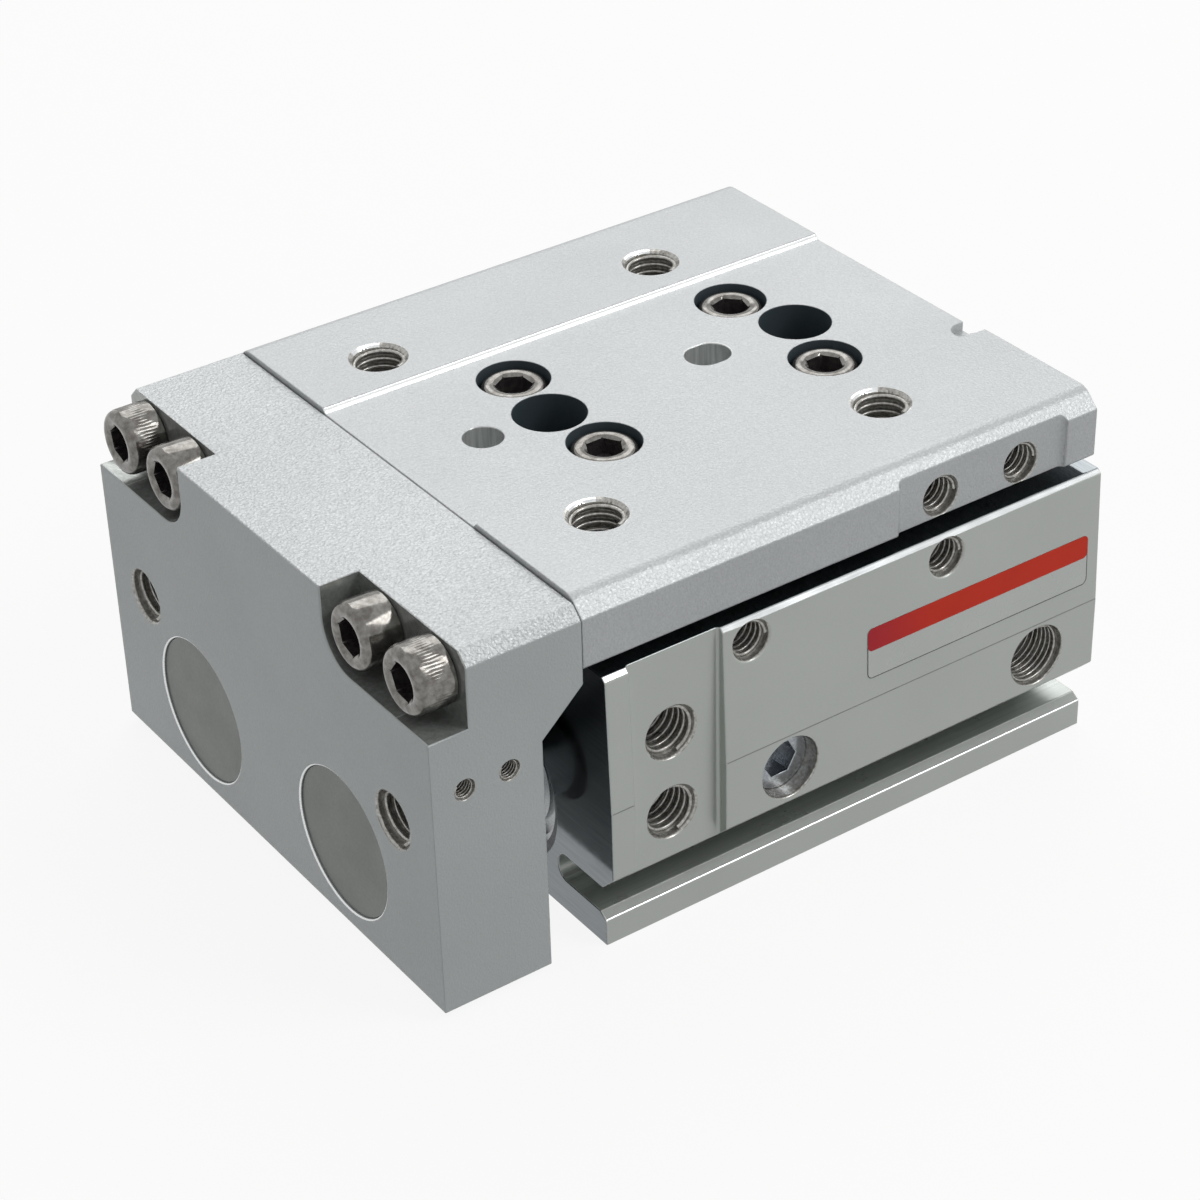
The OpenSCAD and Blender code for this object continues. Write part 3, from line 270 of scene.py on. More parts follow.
def pocket_finish():
    """The pockets round the screws: milled, with painted shade in a tone darker than the plate, and a painted
    highlight: a thin bright line 37 mm out from the middle, where the cutter's passes meet."""
    material = worked_metal("milled_oiled_aluminium_pocket", "#B4B8B5", "#9EA29F", 0.8, (0.18, 0.26),
                            metallic=0.5)
    tree = material.node_tree
    colour = tree.nodes["Principled BSDF"].inputs["Base Color"]
    dark = colour.links[0].from_socket
    at = node(tree, "ShaderNodeTexCoord").outputs["Object"]
    across = node(tree, "ShaderNodeSeparateXYZ", {0: at}).outputs[1]
    side = node(tree, "ShaderNodeMath", {0: across}, operation="ABSOLUTE").outputs[0]
    line = node(tree, "ShaderNodeMath", {0: side, 1: mm(37), 2: mm(0.09)}, operation="COMPARE").outputs[0]
    mixed = node(tree, "ShaderNodeMix", {0: line, 6: dark, 7: linear("#DDE0E0")}, data_type="RGBA")
    tree.links.new(mixed.outputs[2], colour)
    return material


POCKET = pocket_finish()

for name, cad in NODES.items():
    cad.data.materials.clear()
    cad.data.materials.append(FINISH[SLOT_OF[name]])

# ---------------------------------------------------------------- dressing the solids


def link(name, mesh):
    made = bpy.data.objects.new(name, mesh)
    bpy.context.scene.collection.objects.link(made)
    return made


def settled(obj, name):
    """The evaluated object as a plain mesh of its own, at the origin; the old one is removed."""
    graph = bpy.context.evaluated_depsgraph_get()
    mesh = bpy.data.meshes.new_from_object(obj.evaluated_get(graph), depsgraph=graph)
    bpy.data.objects.remove(obj)
    mesh.name = name
    return link(name, mesh)


def aboard(piece, body, slot_name, *stands_for):
    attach(piece, body)
    if stands_for:
        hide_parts(*stands_for)
    return piece


def lathe(profile, steps=48):
    """Closed solid of revolution about +Z from (radius, z) points that start and end on the axis."""
    bm = bmesh.new()
    rings = []
    for radius, z in profile:
        if radius < 1e-9:
            rings.append([bm.verts.new((0, 0, z))])
        else:
            rings.append([bm.verts.new((radius * math.cos(t), radius * math.sin(t), z))
                          for t in (2 * math.pi * i / steps for i in range(steps))])
    for lower, upper in zip(rings, rings[1:]):
        for i in range(steps):
            j = (i + 1) % steps
            if len(lower) == 1:
                bm.faces.new((lower[0], upper[j], upper[i]))
            elif len(upper) == 1:
                bm.faces.new((lower[i], lower[j], upper[0]))
            else:
                bm.faces.new((lower[i], lower[j], upper[j], upper[i]))
    bmesh.ops.recalc_face_normals(bm, faces=bm.faces)
    return bm


def placed(bm, at, axis, into):
    """Adds a copy of a mesh to another, its +Z along axis."""
    mesh = bpy.data.meshes.new("part")
    bm.to_mesh(mesh)
    mesh.transform(Matrix.Translation(at) @ Vector(axis).to_track_quat("Z", "Y").to_matrix().to_4x4())
    into.from_mesh(mesh)
    bpy.data.meshes.remove(mesh)


# Holes: place of the mouth, the way out, radius, depth, and the width of the countersink
X0 = 58                                      # the end plate's front face lies this far before the origin
Z_TABLE, Z_STRIP, HALF = 57.7, 58.5, 45
TABLE_THREADS = [((x - X0, side * 28, Z_STRIP), (0, 0, 1), 4, 10, 0.5) for x in (39, 89) for side in (-1, 1)]
SIDE_THREADS = [((x - X0, -44.1, 51.4), (0, -1, 0), 3, 10, 0.3) for x in (86.8, 101.8)]
FRONT_THREADS = [((-X0, side * 34.5, 28.2), (-1, 0, 0), 4, 14, 0.45) for side in (-1, 1)]
STOP_THREADS = [((x - X0, -HALF, 37.1), (0, -1, 0), 1.5, 6, 0.2) for x in (5.2, 12.3)]
PAD_THREADS = [((38.5 - X0, -45.2, z), (0, -1, 0), 4, 10, 0.4) for z in (18.5, 32)]
WALL_THREADS = [((x - X0, -46.2, 42.4), (0, -1, 0), 3, 8, 0.3) for x in (51.5, 86.5)]
PORTS = [((x - X0, side * 47, 18.5), (0, side, 0), 4.85, 9, 0.25) for x in (58, 104.5) for side in (-1, 1)]
BASE_THREADS = [((x - X0, 0, 0), (0, 0, -1), 4, 12, 0.7) for x in (46.5, 96.5)]
ACCESS_HOLES = [((x - X0, 0, Z_TABLE), (0, 0, 1), 5.5, 12, 0) for x in (50.5, 95.5)]
COUNTERBORES = [((x - X0, side * 11.5, Z_TABLE), (0, 0, 1), 5.5, 7, 0) for x in (52, 92) for side in (-1, 1)]
LOCATING_HOLES = [((39 - X0, 0, Z_TABLE), (0, 0, 1), 3, 5.2, 0),
                  ((79 - X0, 0, Z_TABLE), (0, 0, 1), 3.7, 5.2, 0)]


def countersinks(holes):
    """Cones that open each hole's mouth, as one cutter."""
    bm = bmesh.new()
    for at, axis, radius, depth, wide in holes:
        tip, over = -radius - wide, 0.4
        cone = lathe([(0, mm(tip)), (mm(over - tip), mm(over)), (0, mm(over))], 96)
        placed(cone, mm(*at), axis, bm)
        cone.free()
    mesh = bpy.data.meshes.new("cutter")
    bm.to_mesh(mesh)
    bm.free()
    return link("cutter", mesh)


def in_hole(point, holes):
    """True for a point on the mouth, countersink or wall of one of these holes."""
    for at, axis, radius, depth, wide in holes:
        away = point - mm(*at)
        along = away.dot(Vector(axis))
        if (mm(-depth - 4) < along < mm(0.05)
                and (away - Vector(axis) * along).length < mm(radius + wide + 0.1)):
            return True
    return False


def finish_inside(obj, holes, material):
    """Gives the walls of these holes, and their countersinks, a finish of their own."""
    index = len(obj.data.materials)
    obj.data.materials.append(material)
    for at, axis, radius, depth, wide in holes:
        at, axis = mm(*at), Vector(axis)
        for face in obj.data.polygons:
            away = face.center - at
            sunk = -away.dot(axis)
            if mm(0.02) < sunk < mm(depth + 0.5) and (away + axis * sunk).length < mm(radius + wide + 0.03):
                face.material_index = index


def finish_where(obj, material, chosen):
    """Gives the faces that chosen(middle in mm, normal) picks a finish of their own."""
    index = len(obj.data.materials)
    obj.data.materials.append(material)
    for face in obj.data.polygons:
        if chosen(face.center * 1000, face.normal):
            face.material_index = index


def dressed(name, edge, holes=(), angle=28, segments=2, reshape=None):
    """A copy of a CAD node with countersunk holes and broken edges, which stands for the node."""
    mesh = NODES[name].data.copy()
    bm = bmesh.new()
    bm.from_mesh(mesh)
    bmesh.ops.remove_doubles(bm, verts=bm.verts, dist=mm(0.002))
    bmesh.ops.dissolve_limit(bm, angle_limit=math.radians(0.6), verts=bm.verts, edges=bm.edges)
    bm.to_mesh(mesh)
    bm.free()
    obj = link(name + "_raw", mesh)
    if holes:
        cutter = countersinks(holes)
        boolean = obj.modifiers.new("countersinks", "BOOLEAN")
        boolean.operation, boolean.solver, boolean.object = "DIFFERENCE", "EXACT", cutter
        obj = settled(obj, name + "_cut")
        bpy.data.objects.remove(cutter)
        bm = bmesh.new()
        bm.from_mesh(obj.data)
        bmesh.ops.remove_doubles(bm, verts=bm.verts, dist=mm(0.002))
        bmesh.ops.dissolve_limit(bm, angle_limit=math.radians(0.6), verts=bm.verts, edges=bm.edges)
        bm.to_mesh(obj.data)
        bm.free()
    if reshape:
        for vertex in obj.data.vertices:
            vertex.co = reshape(vertex.co)
    bm = bmesh.new()
    bm.from_mesh(obj.data)
    weight = bm.edges.layers.float.new("bevel_weight_edge")
    for line in bm.edges:
        middle = (line.verts[0].co + line.verts[1].co) / 2
        if (line.calc_face_angle(0.0) > math.radians(angle) and line.is_convex
                and not in_hole(middle, holes)):
            line[weight] = 1.0
    bm.to_mesh(obj.data)
    bm.free()
    bevel = obj.modifiers.new("edges", "BEVEL")
    bevel.width, bevel.segments, bevel.limit_method = mm(edge), segments, "WEIGHT"
    bevel.use_clamp_overlap, bevel.miter_outer = False, "MITER_ARC"
    obj = settled(obj, name + "_edged")
    obj.data.polygons.foreach_set("use_smooth", [True] * len(obj.data.polygons))
    obj.data.set_sharp_from_angle(angle=math.radians(38))
    weighted = obj.modifiers.new("normals", "WEIGHTED_NORMAL")
    weighted.keep_sharp, weighted.weight = True, 60
    obj = settled(obj, name + "_dressed")
    obj.data.materials.clear()
    obj.data.materials.append(FINISH[SLOT_OF[name]])
    return aboard(obj, BODY_OF[name], SLOT_OF[name], name)


SIDE_LOW, SIDE_HIGH, STEP_Z, WALL_Z = 46.96, 46.2, 24.15, 45.4


def side_y(z):
    """Distance of the body's upper side face from the middle: it leans in slightly towards its top."""
    return SIDE_HIGH + (SIDE_LOW - SIDE_HIGH) * (WALL_Z - z) / (WALL_Z - STEP_Z)


def leaning_sides(co):
    """Leans the body's upper side faces, so that the extrusion's step is a fine crease."""
    x, y, z = (v * 1000 for v in co)
    if abs(abs(y) - 46.2) < 0.02 and 24.9 < z < 45.45:
        z = STEP_Z if z < 25.1 else z
        y = math.copysign(side_y(z), y)
    return mm(x, y, z)


# Where the finishes change, in mm: the bounds that pick out faces by their middles
CHAMFER_NORMAL, CHAMFER_CLOSE, EDGE_CLOSE = 0.7, 0.1, 0.15
TABLE_LOW, TABLE_SIDE = 55, 43               # the table's chamfers lie above and outside these
POCKET_X, POCKET_Z = (-57.7, -51.4), (30, 57.5)
REAR_X, REAR_EDGE_X, REAR_EDGE_Z = -34, -33.9, 57.3
DISC_Y, DISC_Z, DISC_RIM = 20, 15.5, (11.2, 12)
BODY_FRONT, BODY_HIGH, BODY_SIDE, SATIN_FROM = -30.5, 40, 40, -20
FOOT_HIGH, FOOT_SIDE, FOOT_OUTER = 6, 30, 44
DISC_SINK = 0.4                              # depth of the discs in their bores


def is_slanted(n, close):
    """True for a face that slants at 45 degrees, up and out to either side."""
    return abs(abs(n.y) - CHAMFER_NORMAL) < close and abs(n.z - CHAMFER_NORMAL) < close


def in_pocket(at, n):
    """True for the faces of the pockets round the end plate's screws."""
    inside = POCKET_X[0] < at.x < POCKET_X[1] and POCKET_Z[0] < at.z < POCKET_Z[1] and abs(at.y) < 44.8
    return inside and not (n.x < -0.9 and at.x < -57) and not (abs(at.y) > 30 and at.z < 40)


table = dressed("table", 0.2, TABLE_THREADS + SIDE_THREADS)
finish_inside(table, TABLE_THREADS + SIDE_THREADS, THREAD_METAL)
# painted shade: the access holes and counterbores near black
finish_inside(table, ACCESS_HOLES + COUNTERBORES, BORE_SHADE)
finish_inside(table, LOCATING_HOLES, REAMED)
# the steps up to the two side strips are milled, with a painted highlight in their pale tone
finish_where(table, PALE_CUT_HIGHLIGHT, lambda at, n: abs(n.y) > 0.6 and Z_TABLE + 0.05 < at.z < Z_STRIP - 0.03
             and 15 < abs(at.y) < 43)
# painted highlight: the table's slanted chamfers take the lighter tone
finish_where(table, CHAMFER_HIGHLIGHT, lambda at, n: is_slanted(n, CHAMFER_CLOSE) and at.z > TABLE_LOW
             and abs(at.y) > TABLE_SIDE)
end_plate = dressed("end_plate", 0.25, FRONT_THREADS + STOP_THREADS)
finish_inside(end_plate, FRONT_THREADS + STOP_THREADS, THREAD_METAL)
# painted top light: the plate's upward faces take the lighter tone
finish_where(end_plate, COARSE_TOP_LIGHT, lambda at, n: n.z > 0.3 and at.z > TABLE_LOW)
# painted shade in the screw pockets, with a painted highlight line across their floors
finish_where(end_plate, POCKET, in_pocket)
# painted highlight: the bevels round the disc bores
finish_where(end_plate, PALE_CUT_HIGHLIGHT, lambda at, n: at.x < -57.6 and -0.95 < n.x < -0.2
             and DISC_RIM[0] < math.hypot(abs(at.y) - DISC_Y, at.z - DISC_Z) < DISC_RIM[1])
# painted shade: the plate's rear face, in the gap before the body
finish_where(end_plate, SMOOTH_GAP_SHADE, lambda at, n: n.x > 0.9 and at.x > REAR_X)
# painted shade along the joint's edge
finish_where(end_plate, JOINT_SHADE, lambda at, n: n.x > 0.1 and n.z > 0.1 and at.x > REAR_EDGE_X
             and at.z > REAR_EDGE_Z)
body = dressed("body", 0.2, PAD_THREADS + WALL_THREADS + PORTS + BASE_THREADS, reshape=leaning_sides)
finish_inside(body, PAD_THREADS + WALL_THREADS + PORTS + BASE_THREADS, THREAD_METAL)
# painted shade: the body's front face and its top under the table
finish_where(body, SMOOTH_GAP_SHADE, lambda at, n: (n.x < -0.9 and at.x < BODY_FRONT)
             or (n.z > 0.9 and at.z > BODY_HIGH))
# painted highlight: the front of the body's long chamfer keeps the pale tone, the rest takes the satin one
for finish, from_x in ((PALE_CUT_HIGHLIGHT, -math.inf), (SATIN, SATIN_FROM)):
    finish_where(body, finish, lambda at, n: is_slanted(n, EDGE_CLOSE) and at.z > BODY_HIGH
                 and abs(at.y) > BODY_SIDE and at.x > from_x)
finish_where(body, LEDGE, lambda at, n: n.z > 0.95 and at.z < FOOT_HIGH and abs(at.y) > FOOT_SIDE)
# painted shade on the foot's sloping edge
finish_where(body, LEDGE_EDGE_SHADE, lambda at, n: 0.8 < n.z < 0.9 and at.z < FOOT_HIGH and abs(at.y) > FOOT_SIDE)
# painted highlight along the foot's outer edge
finish_where(body, PALE_CUT_HIGHLIGHT, lambda at, n: 0.6 < abs(n.y) < 0.97 and n.z > 0.1 and at.z < FOOT_HIGH
             and abs(at.y) > FOOT_OUTER)
# painted shade in the crease of the body's side
finish_where(body, CREASE_SHADE, lambda at, n: abs(n.y) > 0.9 and 23.95 < at.z < STEP_Z and abs(at.y) > 46.5)


def sunk_face(co):
    """Sets the front of a disc a little way into its bore."""
    return Vector((max(co.x, mm(DISC_SINK - X0)), co.y, co.z))


for small in ("rod_end_cover_left", "rod_end_cover_right"):
    dressed(small, 0.1, reshape=sunk_face)
dressed("guide_rail", 0.2)
dressed("port_plugs", 0.15)

# ---------------------------------------------------------------- threads


def group_input(tree, name, kind, value):
    socket = tree.interface.new_socket(name, in_out="INPUT", socket_type=kind)
    socket.default_value = value
    return socket.identifier


def thread_tree():
    """A helical ridge inside a bore: a spiral with a three-sided ridge swept along it, set in every
    hole whose mouth is a point of the mesh, its way out that point's 'out' attribute."""
    tree = bpy.data.node_groups.new("threads", "GeometryNodeTree")
    tree.interface.new_socket("Geometry", in_out="INPUT", socket_type="NodeSocketGeometry")
    ids = {name: group_input(tree, name, "NodeSocketFloat", value)
           for name, value in (("Bore radius", 0.004), ("Pitch", 0.00125), ("Turns", 6.0), ("Ridge", 0.0006),
                               ("Start", 0.0006))}
    material = tree.interface.new_socket("Metal", in_out="INPUT", socket_type="NodeSocketMaterial")
    ids["Metal"] = material.identifier
    tree.interface.new_socket("Geometry", in_out="OUTPUT", socket_type="NodeSocketGeometry")
    given = tree.nodes.new("NodeGroupInput").outputs

    length = node(tree, "ShaderNodeMath", {0: given["Pitch"], 1: given["Turns"]},
                  operation="MULTIPLY").outputs[0]
    mid = node(tree, "ShaderNodeMath", {0: given["Ridge"], 1: -0.36, 2: given["Bore radius"]},
               operation="MULTIPLY_ADD").outputs[0]
    wide = node(tree, "ShaderNodeMath", {0: given["Ridge"], 1: 0.62}, operation="MULTIPLY").outputs[0]
    far = node(tree, "ShaderNodeMath", {0: length, 1: given["Start"]}, operation="ADD").outputs[0]
    sunk = node(tree, "ShaderNodeMath", {0: far, 1: -1.0}, operation="MULTIPLY").outputs[0]
    spiral = node(tree, "GeometryNodeCurveSpiral", {"Resolution": 40, "Rotations": given["Turns"],
                                                    "Start Radius": mid, "End Radius": mid, "Height": length})
    ridge = node(tree, "GeometryNodeCurvePrimitiveCircle", {"Resolution": 4, "Radius": wide}, mode="RADIUS")
    swept = node(tree, "GeometryNodeCurveToMesh",
                 {"Curve": spiral.outputs[0], "Profile Curve": ridge.outputs[0],
                                                   "Fill Caps": True})
    shift = node(tree, "ShaderNodeCombineXYZ", {2: sunk})
    lowered = node(tree, "GeometryNodeTransform", {"Geometry": swept.outputs[0],
                                                   "Translation": shift.outputs[0]})
    out = node(tree, "GeometryNodeInputNamedAttribute", {"Name": "out"}, data_type="FLOAT_VECTOR")
    turned = node(tree, "FunctionNodeAlignRotationToVector", {"Vector": out.outputs[0]}, axis="Z")
    holes = node(tree, "GeometryNodeInstanceOnPoints", {"Points": given["Geometry"],
                                                        "Instance": lowered.outputs[0],
                                                        "Rotation": turned.outputs[0]})
    real = node(tree, "GeometryNodeRealizeInstances", {"Geometry": holes.outputs[0]})
    metal = node(tree, "GeometryNodeSetMaterial", {"Geometry": real.outputs[0], "Material": given["Metal"]})
    node(tree, "NodeGroupOutput", {"Geometry": metal.outputs[0]})
    return tree, ids


THREADS, THREAD_INPUTS = thread_tree()


def tapped(name, body, slot_name, holes, pitch, depth=None, start=0.6, ridge=None, metal=None):
    """Threads in a row of equal holes on one body."""
    mesh = bpy.data.meshes.new(name)
    mesh.from_pydata([mm(*at) for at, *_ in holes], [], [])
    way = mesh.attributes.new("out", "FLOAT_VECTOR", "POINT")
    for i, hole in enumerate(holes):
        way.data[i].vector = hole[1]
    obj = link(name + "_points", mesh)
    modifier = obj.modifiers.new("threads", "NODES")
    modifier.node_group = THREADS
    run = (depth or holes[0][3]) - start - 0.4
    for socket, value in (("Bore radius", mm(holes[0][2])), ("Pitch", mm(pitch)), ("Turns", run / pitch),
                          ("Ridge", mm(ridge or 0.54 * pitch)), ("Start", mm(start)),
                          ("Metal", metal or THREAD_METAL)):
        modifier[THREAD_INPUTS[socket]] = value
    obj = settled(obj, name)
    bm = bmesh.new()
    bm.from_mesh(obj.data)
    bmesh.ops.recalc_face_normals(bm, faces=bm.faces)
    bm.to_mesh(obj.data)
    bm.free()
    return aboard(obj, body, slot_name)


tapped("table_top_threads", "table", "table_aluminium", TABLE_THREADS, 1.25)
tapped("table_side_threads", "table", "table_aluminium", SIDE_THREADS, 1.0)
tapped("end_plate_front_threads", "table", "plate_aluminium", FRONT_THREADS, 1.25)
tapped("end_plate_stopper_threads", "table", "plate_aluminium", STOP_THREADS, 0.5, start=0.3)
tapped("pad_threads", "body", "body_aluminium", PAD_THREADS, 1.25)
tapped("wall_threads", "body", "body_aluminium", WALL_THREADS, 1.0)
tapped("open_port_threads", "body", "body_aluminium", [PORTS[1], PORTS[2]], 0.907)
tapped("base_threads", "body", "body_aluminium", BASE_THREADS, 1.25)

# ---------------------------------------------------------------- screws

STEPS = 144                                  # a multiple of 6, so that the socket's corners are true
EDGE_R = 1.1                                 # radius of the edge round a head's face


def cap_screw_mesh(name, diameter, length, head_d, head_h, flats, knurled=True):
    """A cap screw with a rounded and knurled head, a chamfered hexagon socket and a threaded shank.
    The underside of the head lies at z = 0 and the head above it."""
    bm = bmesh.new()

    def ring(z, radius, knurl=0.0, hexagon=0.0):
        points = []
        for i in range(STEPS):
            t = 2 * math.pi * i / STEPS
            rad = radius
            if knurl:
                rad -= knurl * (i % 2)
            if hexagon:
                corner = (t + math.pi / 6) % (math.pi / 3) - math.pi / 6
                rad = hexagon / 2 / math.cos(corner)
            points.append(bm.verts.new((mm(rad) * math.cos(t), mm(rad) * math.sin(t), mm(z))))
        return points

    def centre(z):
        return [bm.verts.new((0, 0, mm(z)))]

    rings = [centre(-length), ring(-length, diameter * 0.36), ring(-length + 0.5, diameter / 2 - 0.05)]
    pitch = 1.0
    z = -length + 0.5
    while z < -2.2:
        rings += [ring(z + 0.45 * pitch, diameter / 2 - 0.55), ring(z + 0.55 * pitch, diameter / 2 - 0.55),
                  ring(z + 0.95 * pitch, diameter / 2 - 0.05), ring(z + pitch, diameter / 2 - 0.05)]
        z += pitch
    half = head_d / 2
    cut = 0.07 if knurled else 0.0
    rings += [ring(-0.6, diameter / 2 - 0.05), ring(0, diameter / 2 + 0.2), ring(0, half - 0.35),
              ring(0.3, half - 0.04), ring(0.75, half - 0.03), ring(0.95, half, cut)]
    if knurled:
        rings += [ring(head_h * 0.5, half, cut), ring(head_h - EDGE_R - 0.15, half, cut)]
    for angle in range(0, 91, 15):
        t = math.radians(angle)
        rings.append(ring(head_h - EDGE_R * (1 - math.sin(t)), half - 0.05 - EDGE_R * (1 - math.cos(t))))
    mouth = flats / 2 / math.cos(math.pi / 6)
    rings += [ring(head_h - 0.02, mouth + 0.34),
              ring(head_h - 0.14, mouth + 0.1), ring(head_h - 0.42, 0, 0, flats),
              ring(head_h * 0.5, 0, 0, flats), ring(head_h * 0.5 - 0.05, flats / 2 - 0.3),
              centre(head_h * 0.5 - 0.9)]
    for lower, upper in zip(rings, rings[1:]):
        for i in range(STEPS):
            j = (i + 1) % STEPS
            if len(lower) == 1:
                bm.faces.new((lower[0], upper[j], upper[i]))
            elif len(upper) == 1:
                bm.faces.new((lower[i], lower[j], upper[0]))
            else:
                bm.faces.new((lower[i], lower[j], upper[j], upper[i]))
    bmesh.ops.recalc_face_normals(bm, faces=bm.faces)
    mesh = bpy.data.meshes.new(name)
    bm.to_mesh(mesh)
    bm.free()
    mesh.polygons.foreach_set("use_smooth", [True] * len(mesh.polygons))
    mesh.set_sharp_from_angle(angle=math.radians(34))
    return mesh


def screw_row_tree():
    """Sets one screw at every point of a mesh: its head's way out is the point's 'out' attribute,
    and each is turned a little further in its thread than the last."""
    tree = bpy.data.node_groups.new("screw_row", "GeometryNodeTree")
    tree.interface.new_socket("Geometry", in_out="INPUT", socket_type="NodeSocketGeometry")
    ids = {}
    for name, kind in (("Screw", "NodeSocketObject"), ("Metal", "NodeSocketMaterial")):
        ids[name] = tree.interface.new_socket(name, in_out="INPUT", socket_type=kind).identifier
    ids["Seed"] = group_input(tree, "Seed", "NodeSocketInt", SEED)
    tree.interface.new_socket("Geometry", in_out="OUTPUT", socket_type="NodeSocketGeometry")
    given = tree.nodes.new("NodeGroupInput").outputs
    screw = node(tree, "GeometryNodeObjectInfo", {"Object": given["Screw"]})
    out = node(tree, "GeometryNodeInputNamedAttribute", {"Name": "out"}, data_type="FLOAT_VECTOR")
    chance = node(tree, "FunctionNodeRandomValue", {2: 0.0, 3: math.pi / 3, "Seed": given["Seed"]})
    spin = node(tree, "ShaderNodeCombineXYZ", {2: chance.outputs[1]})
    aligned = node(tree, "FunctionNodeAlignRotationToVector", {"Vector": out.outputs[0]}, axis="Z")
    turned = node(tree, "FunctionNodeRotateRotation", {"Rotation": aligned.outputs[0],
                                                       "Rotate By": spin.outputs[0]}, rotation_space="LOCAL")
    row = node(tree, "GeometryNodeInstanceOnPoints", {"Points": given["Geometry"],
                                                      "Instance": screw.outputs["Geometry"],
                                                      "Rotation": turned.outputs[0]})
    real = node(tree, "GeometryNodeRealizeInstances", {"Geometry": row.outputs[0]})
    metal = node(tree, "GeometryNodeSetMaterial", {"Geometry": real.outputs[0], "Material": given["Metal"]})
    node(tree, "NodeGroupOutput", {"Geometry": metal.outputs[0]})
    return tree, ids


SCREW_ROW, SCREW_INPUTS = screw_row_tree()


def screws(name, rows, out, stands_for, head_r=4.99, head_h=6, flats=5):
    """One piece of screws for a node, from rows of (screw mesh, places, seed)."""
    whole = bmesh.new()
    for screw_mesh, places, seed in rows:
        mesh = bpy.data.meshes.new(name)
        mesh.from_pydata([mm(*at) for at in places], [], [])
        way = mesh.attributes.new("out", "FLOAT_VECTOR", "POINT")
        for item in way.data:
            item.vector = out
        master = link(name + "_master", screw_mesh)
        obj = link(name + "_points", mesh)
        modifier = obj.modifiers.new("row", "NODES")
        modifier.node_group = SCREW_ROW
        modifier[SCREW_INPUTS["Screw"]] = master
        modifier[SCREW_INPUTS["Metal"]] = FINISH[SLOT_OF[stands_for]]
        modifier[SCREW_INPUTS["Seed"]] = seed
        obj = settled(obj, name)
        whole.from_mesh(obj.data)
        bpy.data.objects.remove(obj)
        bpy.data.objects.remove(master)
    mesh = bpy.data.meshes.new(name)
    whole.to_mesh(mesh)
    whole.free()
    mesh.materials.append(FINISH[SLOT_OF[stands_for]])
    piece = link(name, mesh)
    places, out = [Vector(at) for _, row, _ in rows for at in row], Vector(out)

    def on_head(at):
        """Height above the nearest head's underside, and distance from its axis."""
        away = min((at - place for place in places), key=lambda v: (v - out * v.dot(out)).length)
        return away.dot(out), (away - out * away.dot(out)).length

    # painted reflection: a dark band on each head's rounded edge; painted shade: the sockets near black
    for finish, lowest, highest, inner, outer in (
            (HEAD_EDGE_REFLECTION, head_h - EDGE_R * 0.72, head_h - 0.02, head_r - EDGE_R * 0.68, head_r + 1),
            (SOCKET_SHADE, head_h * 0.3, head_h - 0.3, 0, flats * 0.62)):
        finish_where(piece, finish, lambda at, n: lowest < on_head(at)[0] < highest
                     and inner <= on_head(at)[1] < outer)
    return aboard(piece, BODY_OF[stands_for], SLOT_OF[stands_for], stands_for)


screws("end_plate_cap_screws",
       [(cap_screw_mesh("outer_screw", 6, 25, 9.98, 6, 5),
         [(6.3 - X0, side * 38.5, 52.5) for side in (-1, 1)], 3),
        (cap_screw_mesh("inner_screw", 6, 25, 9.98, 6, 5, knurled=False),
         [(6.3 - X0, side * 25.5, 52.5) for side in (-1, 1)], 4)], (-1, 0, 0), "end_plate_screws")
screws("rail_cap_screws", [(cap_screw_mesh("rail_screw", 6, 10, 9.98, 6, 5),
                            [(x - X0, side * 11.5, 51.0) for x in (52, 92) for side in (-1, 1)], 5)],
       (0, 0, 1), "rail_screws")
screws("carriage_cap_screws", [(cap_screw_mesh("carriage_screw", 6, 14, 9.98, 4, 4, knurled=False),
                                [(x - X0, 0, 34.2) for x in (50.5, 65.5)], 9)], (0, 0, 1), "carriage_screws",
       head_h=4, flats=4)

# ---------------------------------------------------------------- label


def rounded(x_from, x_to, z_from, z_to, corner):
    """Outline of a rectangle with rounded corners."""
    outline = []
    for cx, cz, start in ((x_to - corner, z_to - corner, 0), (x_from + corner, z_to - corner, 90),
                          (x_from + corner, z_from + corner, 180), (x_to - corner, z_from + corner, 270)):
        for i in range(9):
            t = math.radians(start + i * 90 / 8)
            outline.append((cx + corner * math.cos(t), cz + corner * math.sin(t)))
    return outline


def film(name, outline, lift, thick, material, hole=None):
    """A thin sheet on the left upper side face, lift above it, with a hole of as many corners if given."""
    bm = bmesh.new()

    def loop(points, above):
        return [bm.verts.new(mm(x, -side_y(z) - above, z)) for x, z in points]

    loops = [(loop(outline, lift), loop(outline, lift + thick))]
    if hole:
        loops.append((loop(hole, lift), loop(hole, lift + thick)))
    for lower, upper in loops:
        for i in range(len(lower)):
            j = (i + 1) % len(lower)
            bm.faces.new((lower[i], lower[j], upper[j], upper[i]))
            if hole and lower is loops[0][0]:
                for level in (0, 1):
                    bm.faces.new((loops[0][level][i], loops[0][level][j],
                                  loops[1][level][j], loops[1][level][i]))
    if not hole:
        bm.faces.new(loops[0][0])
        bm.faces.new(loops[0][1])
    bmesh.ops.recalc_face_normals(bm, faces=bm.faces)
    mesh = bpy.data.meshes.new(name)
    bm.to_mesh(mesh)
    bm.free()
    mesh.materials.append(material)
    return aboard(link(name, mesh), "body", "body_aluminium")


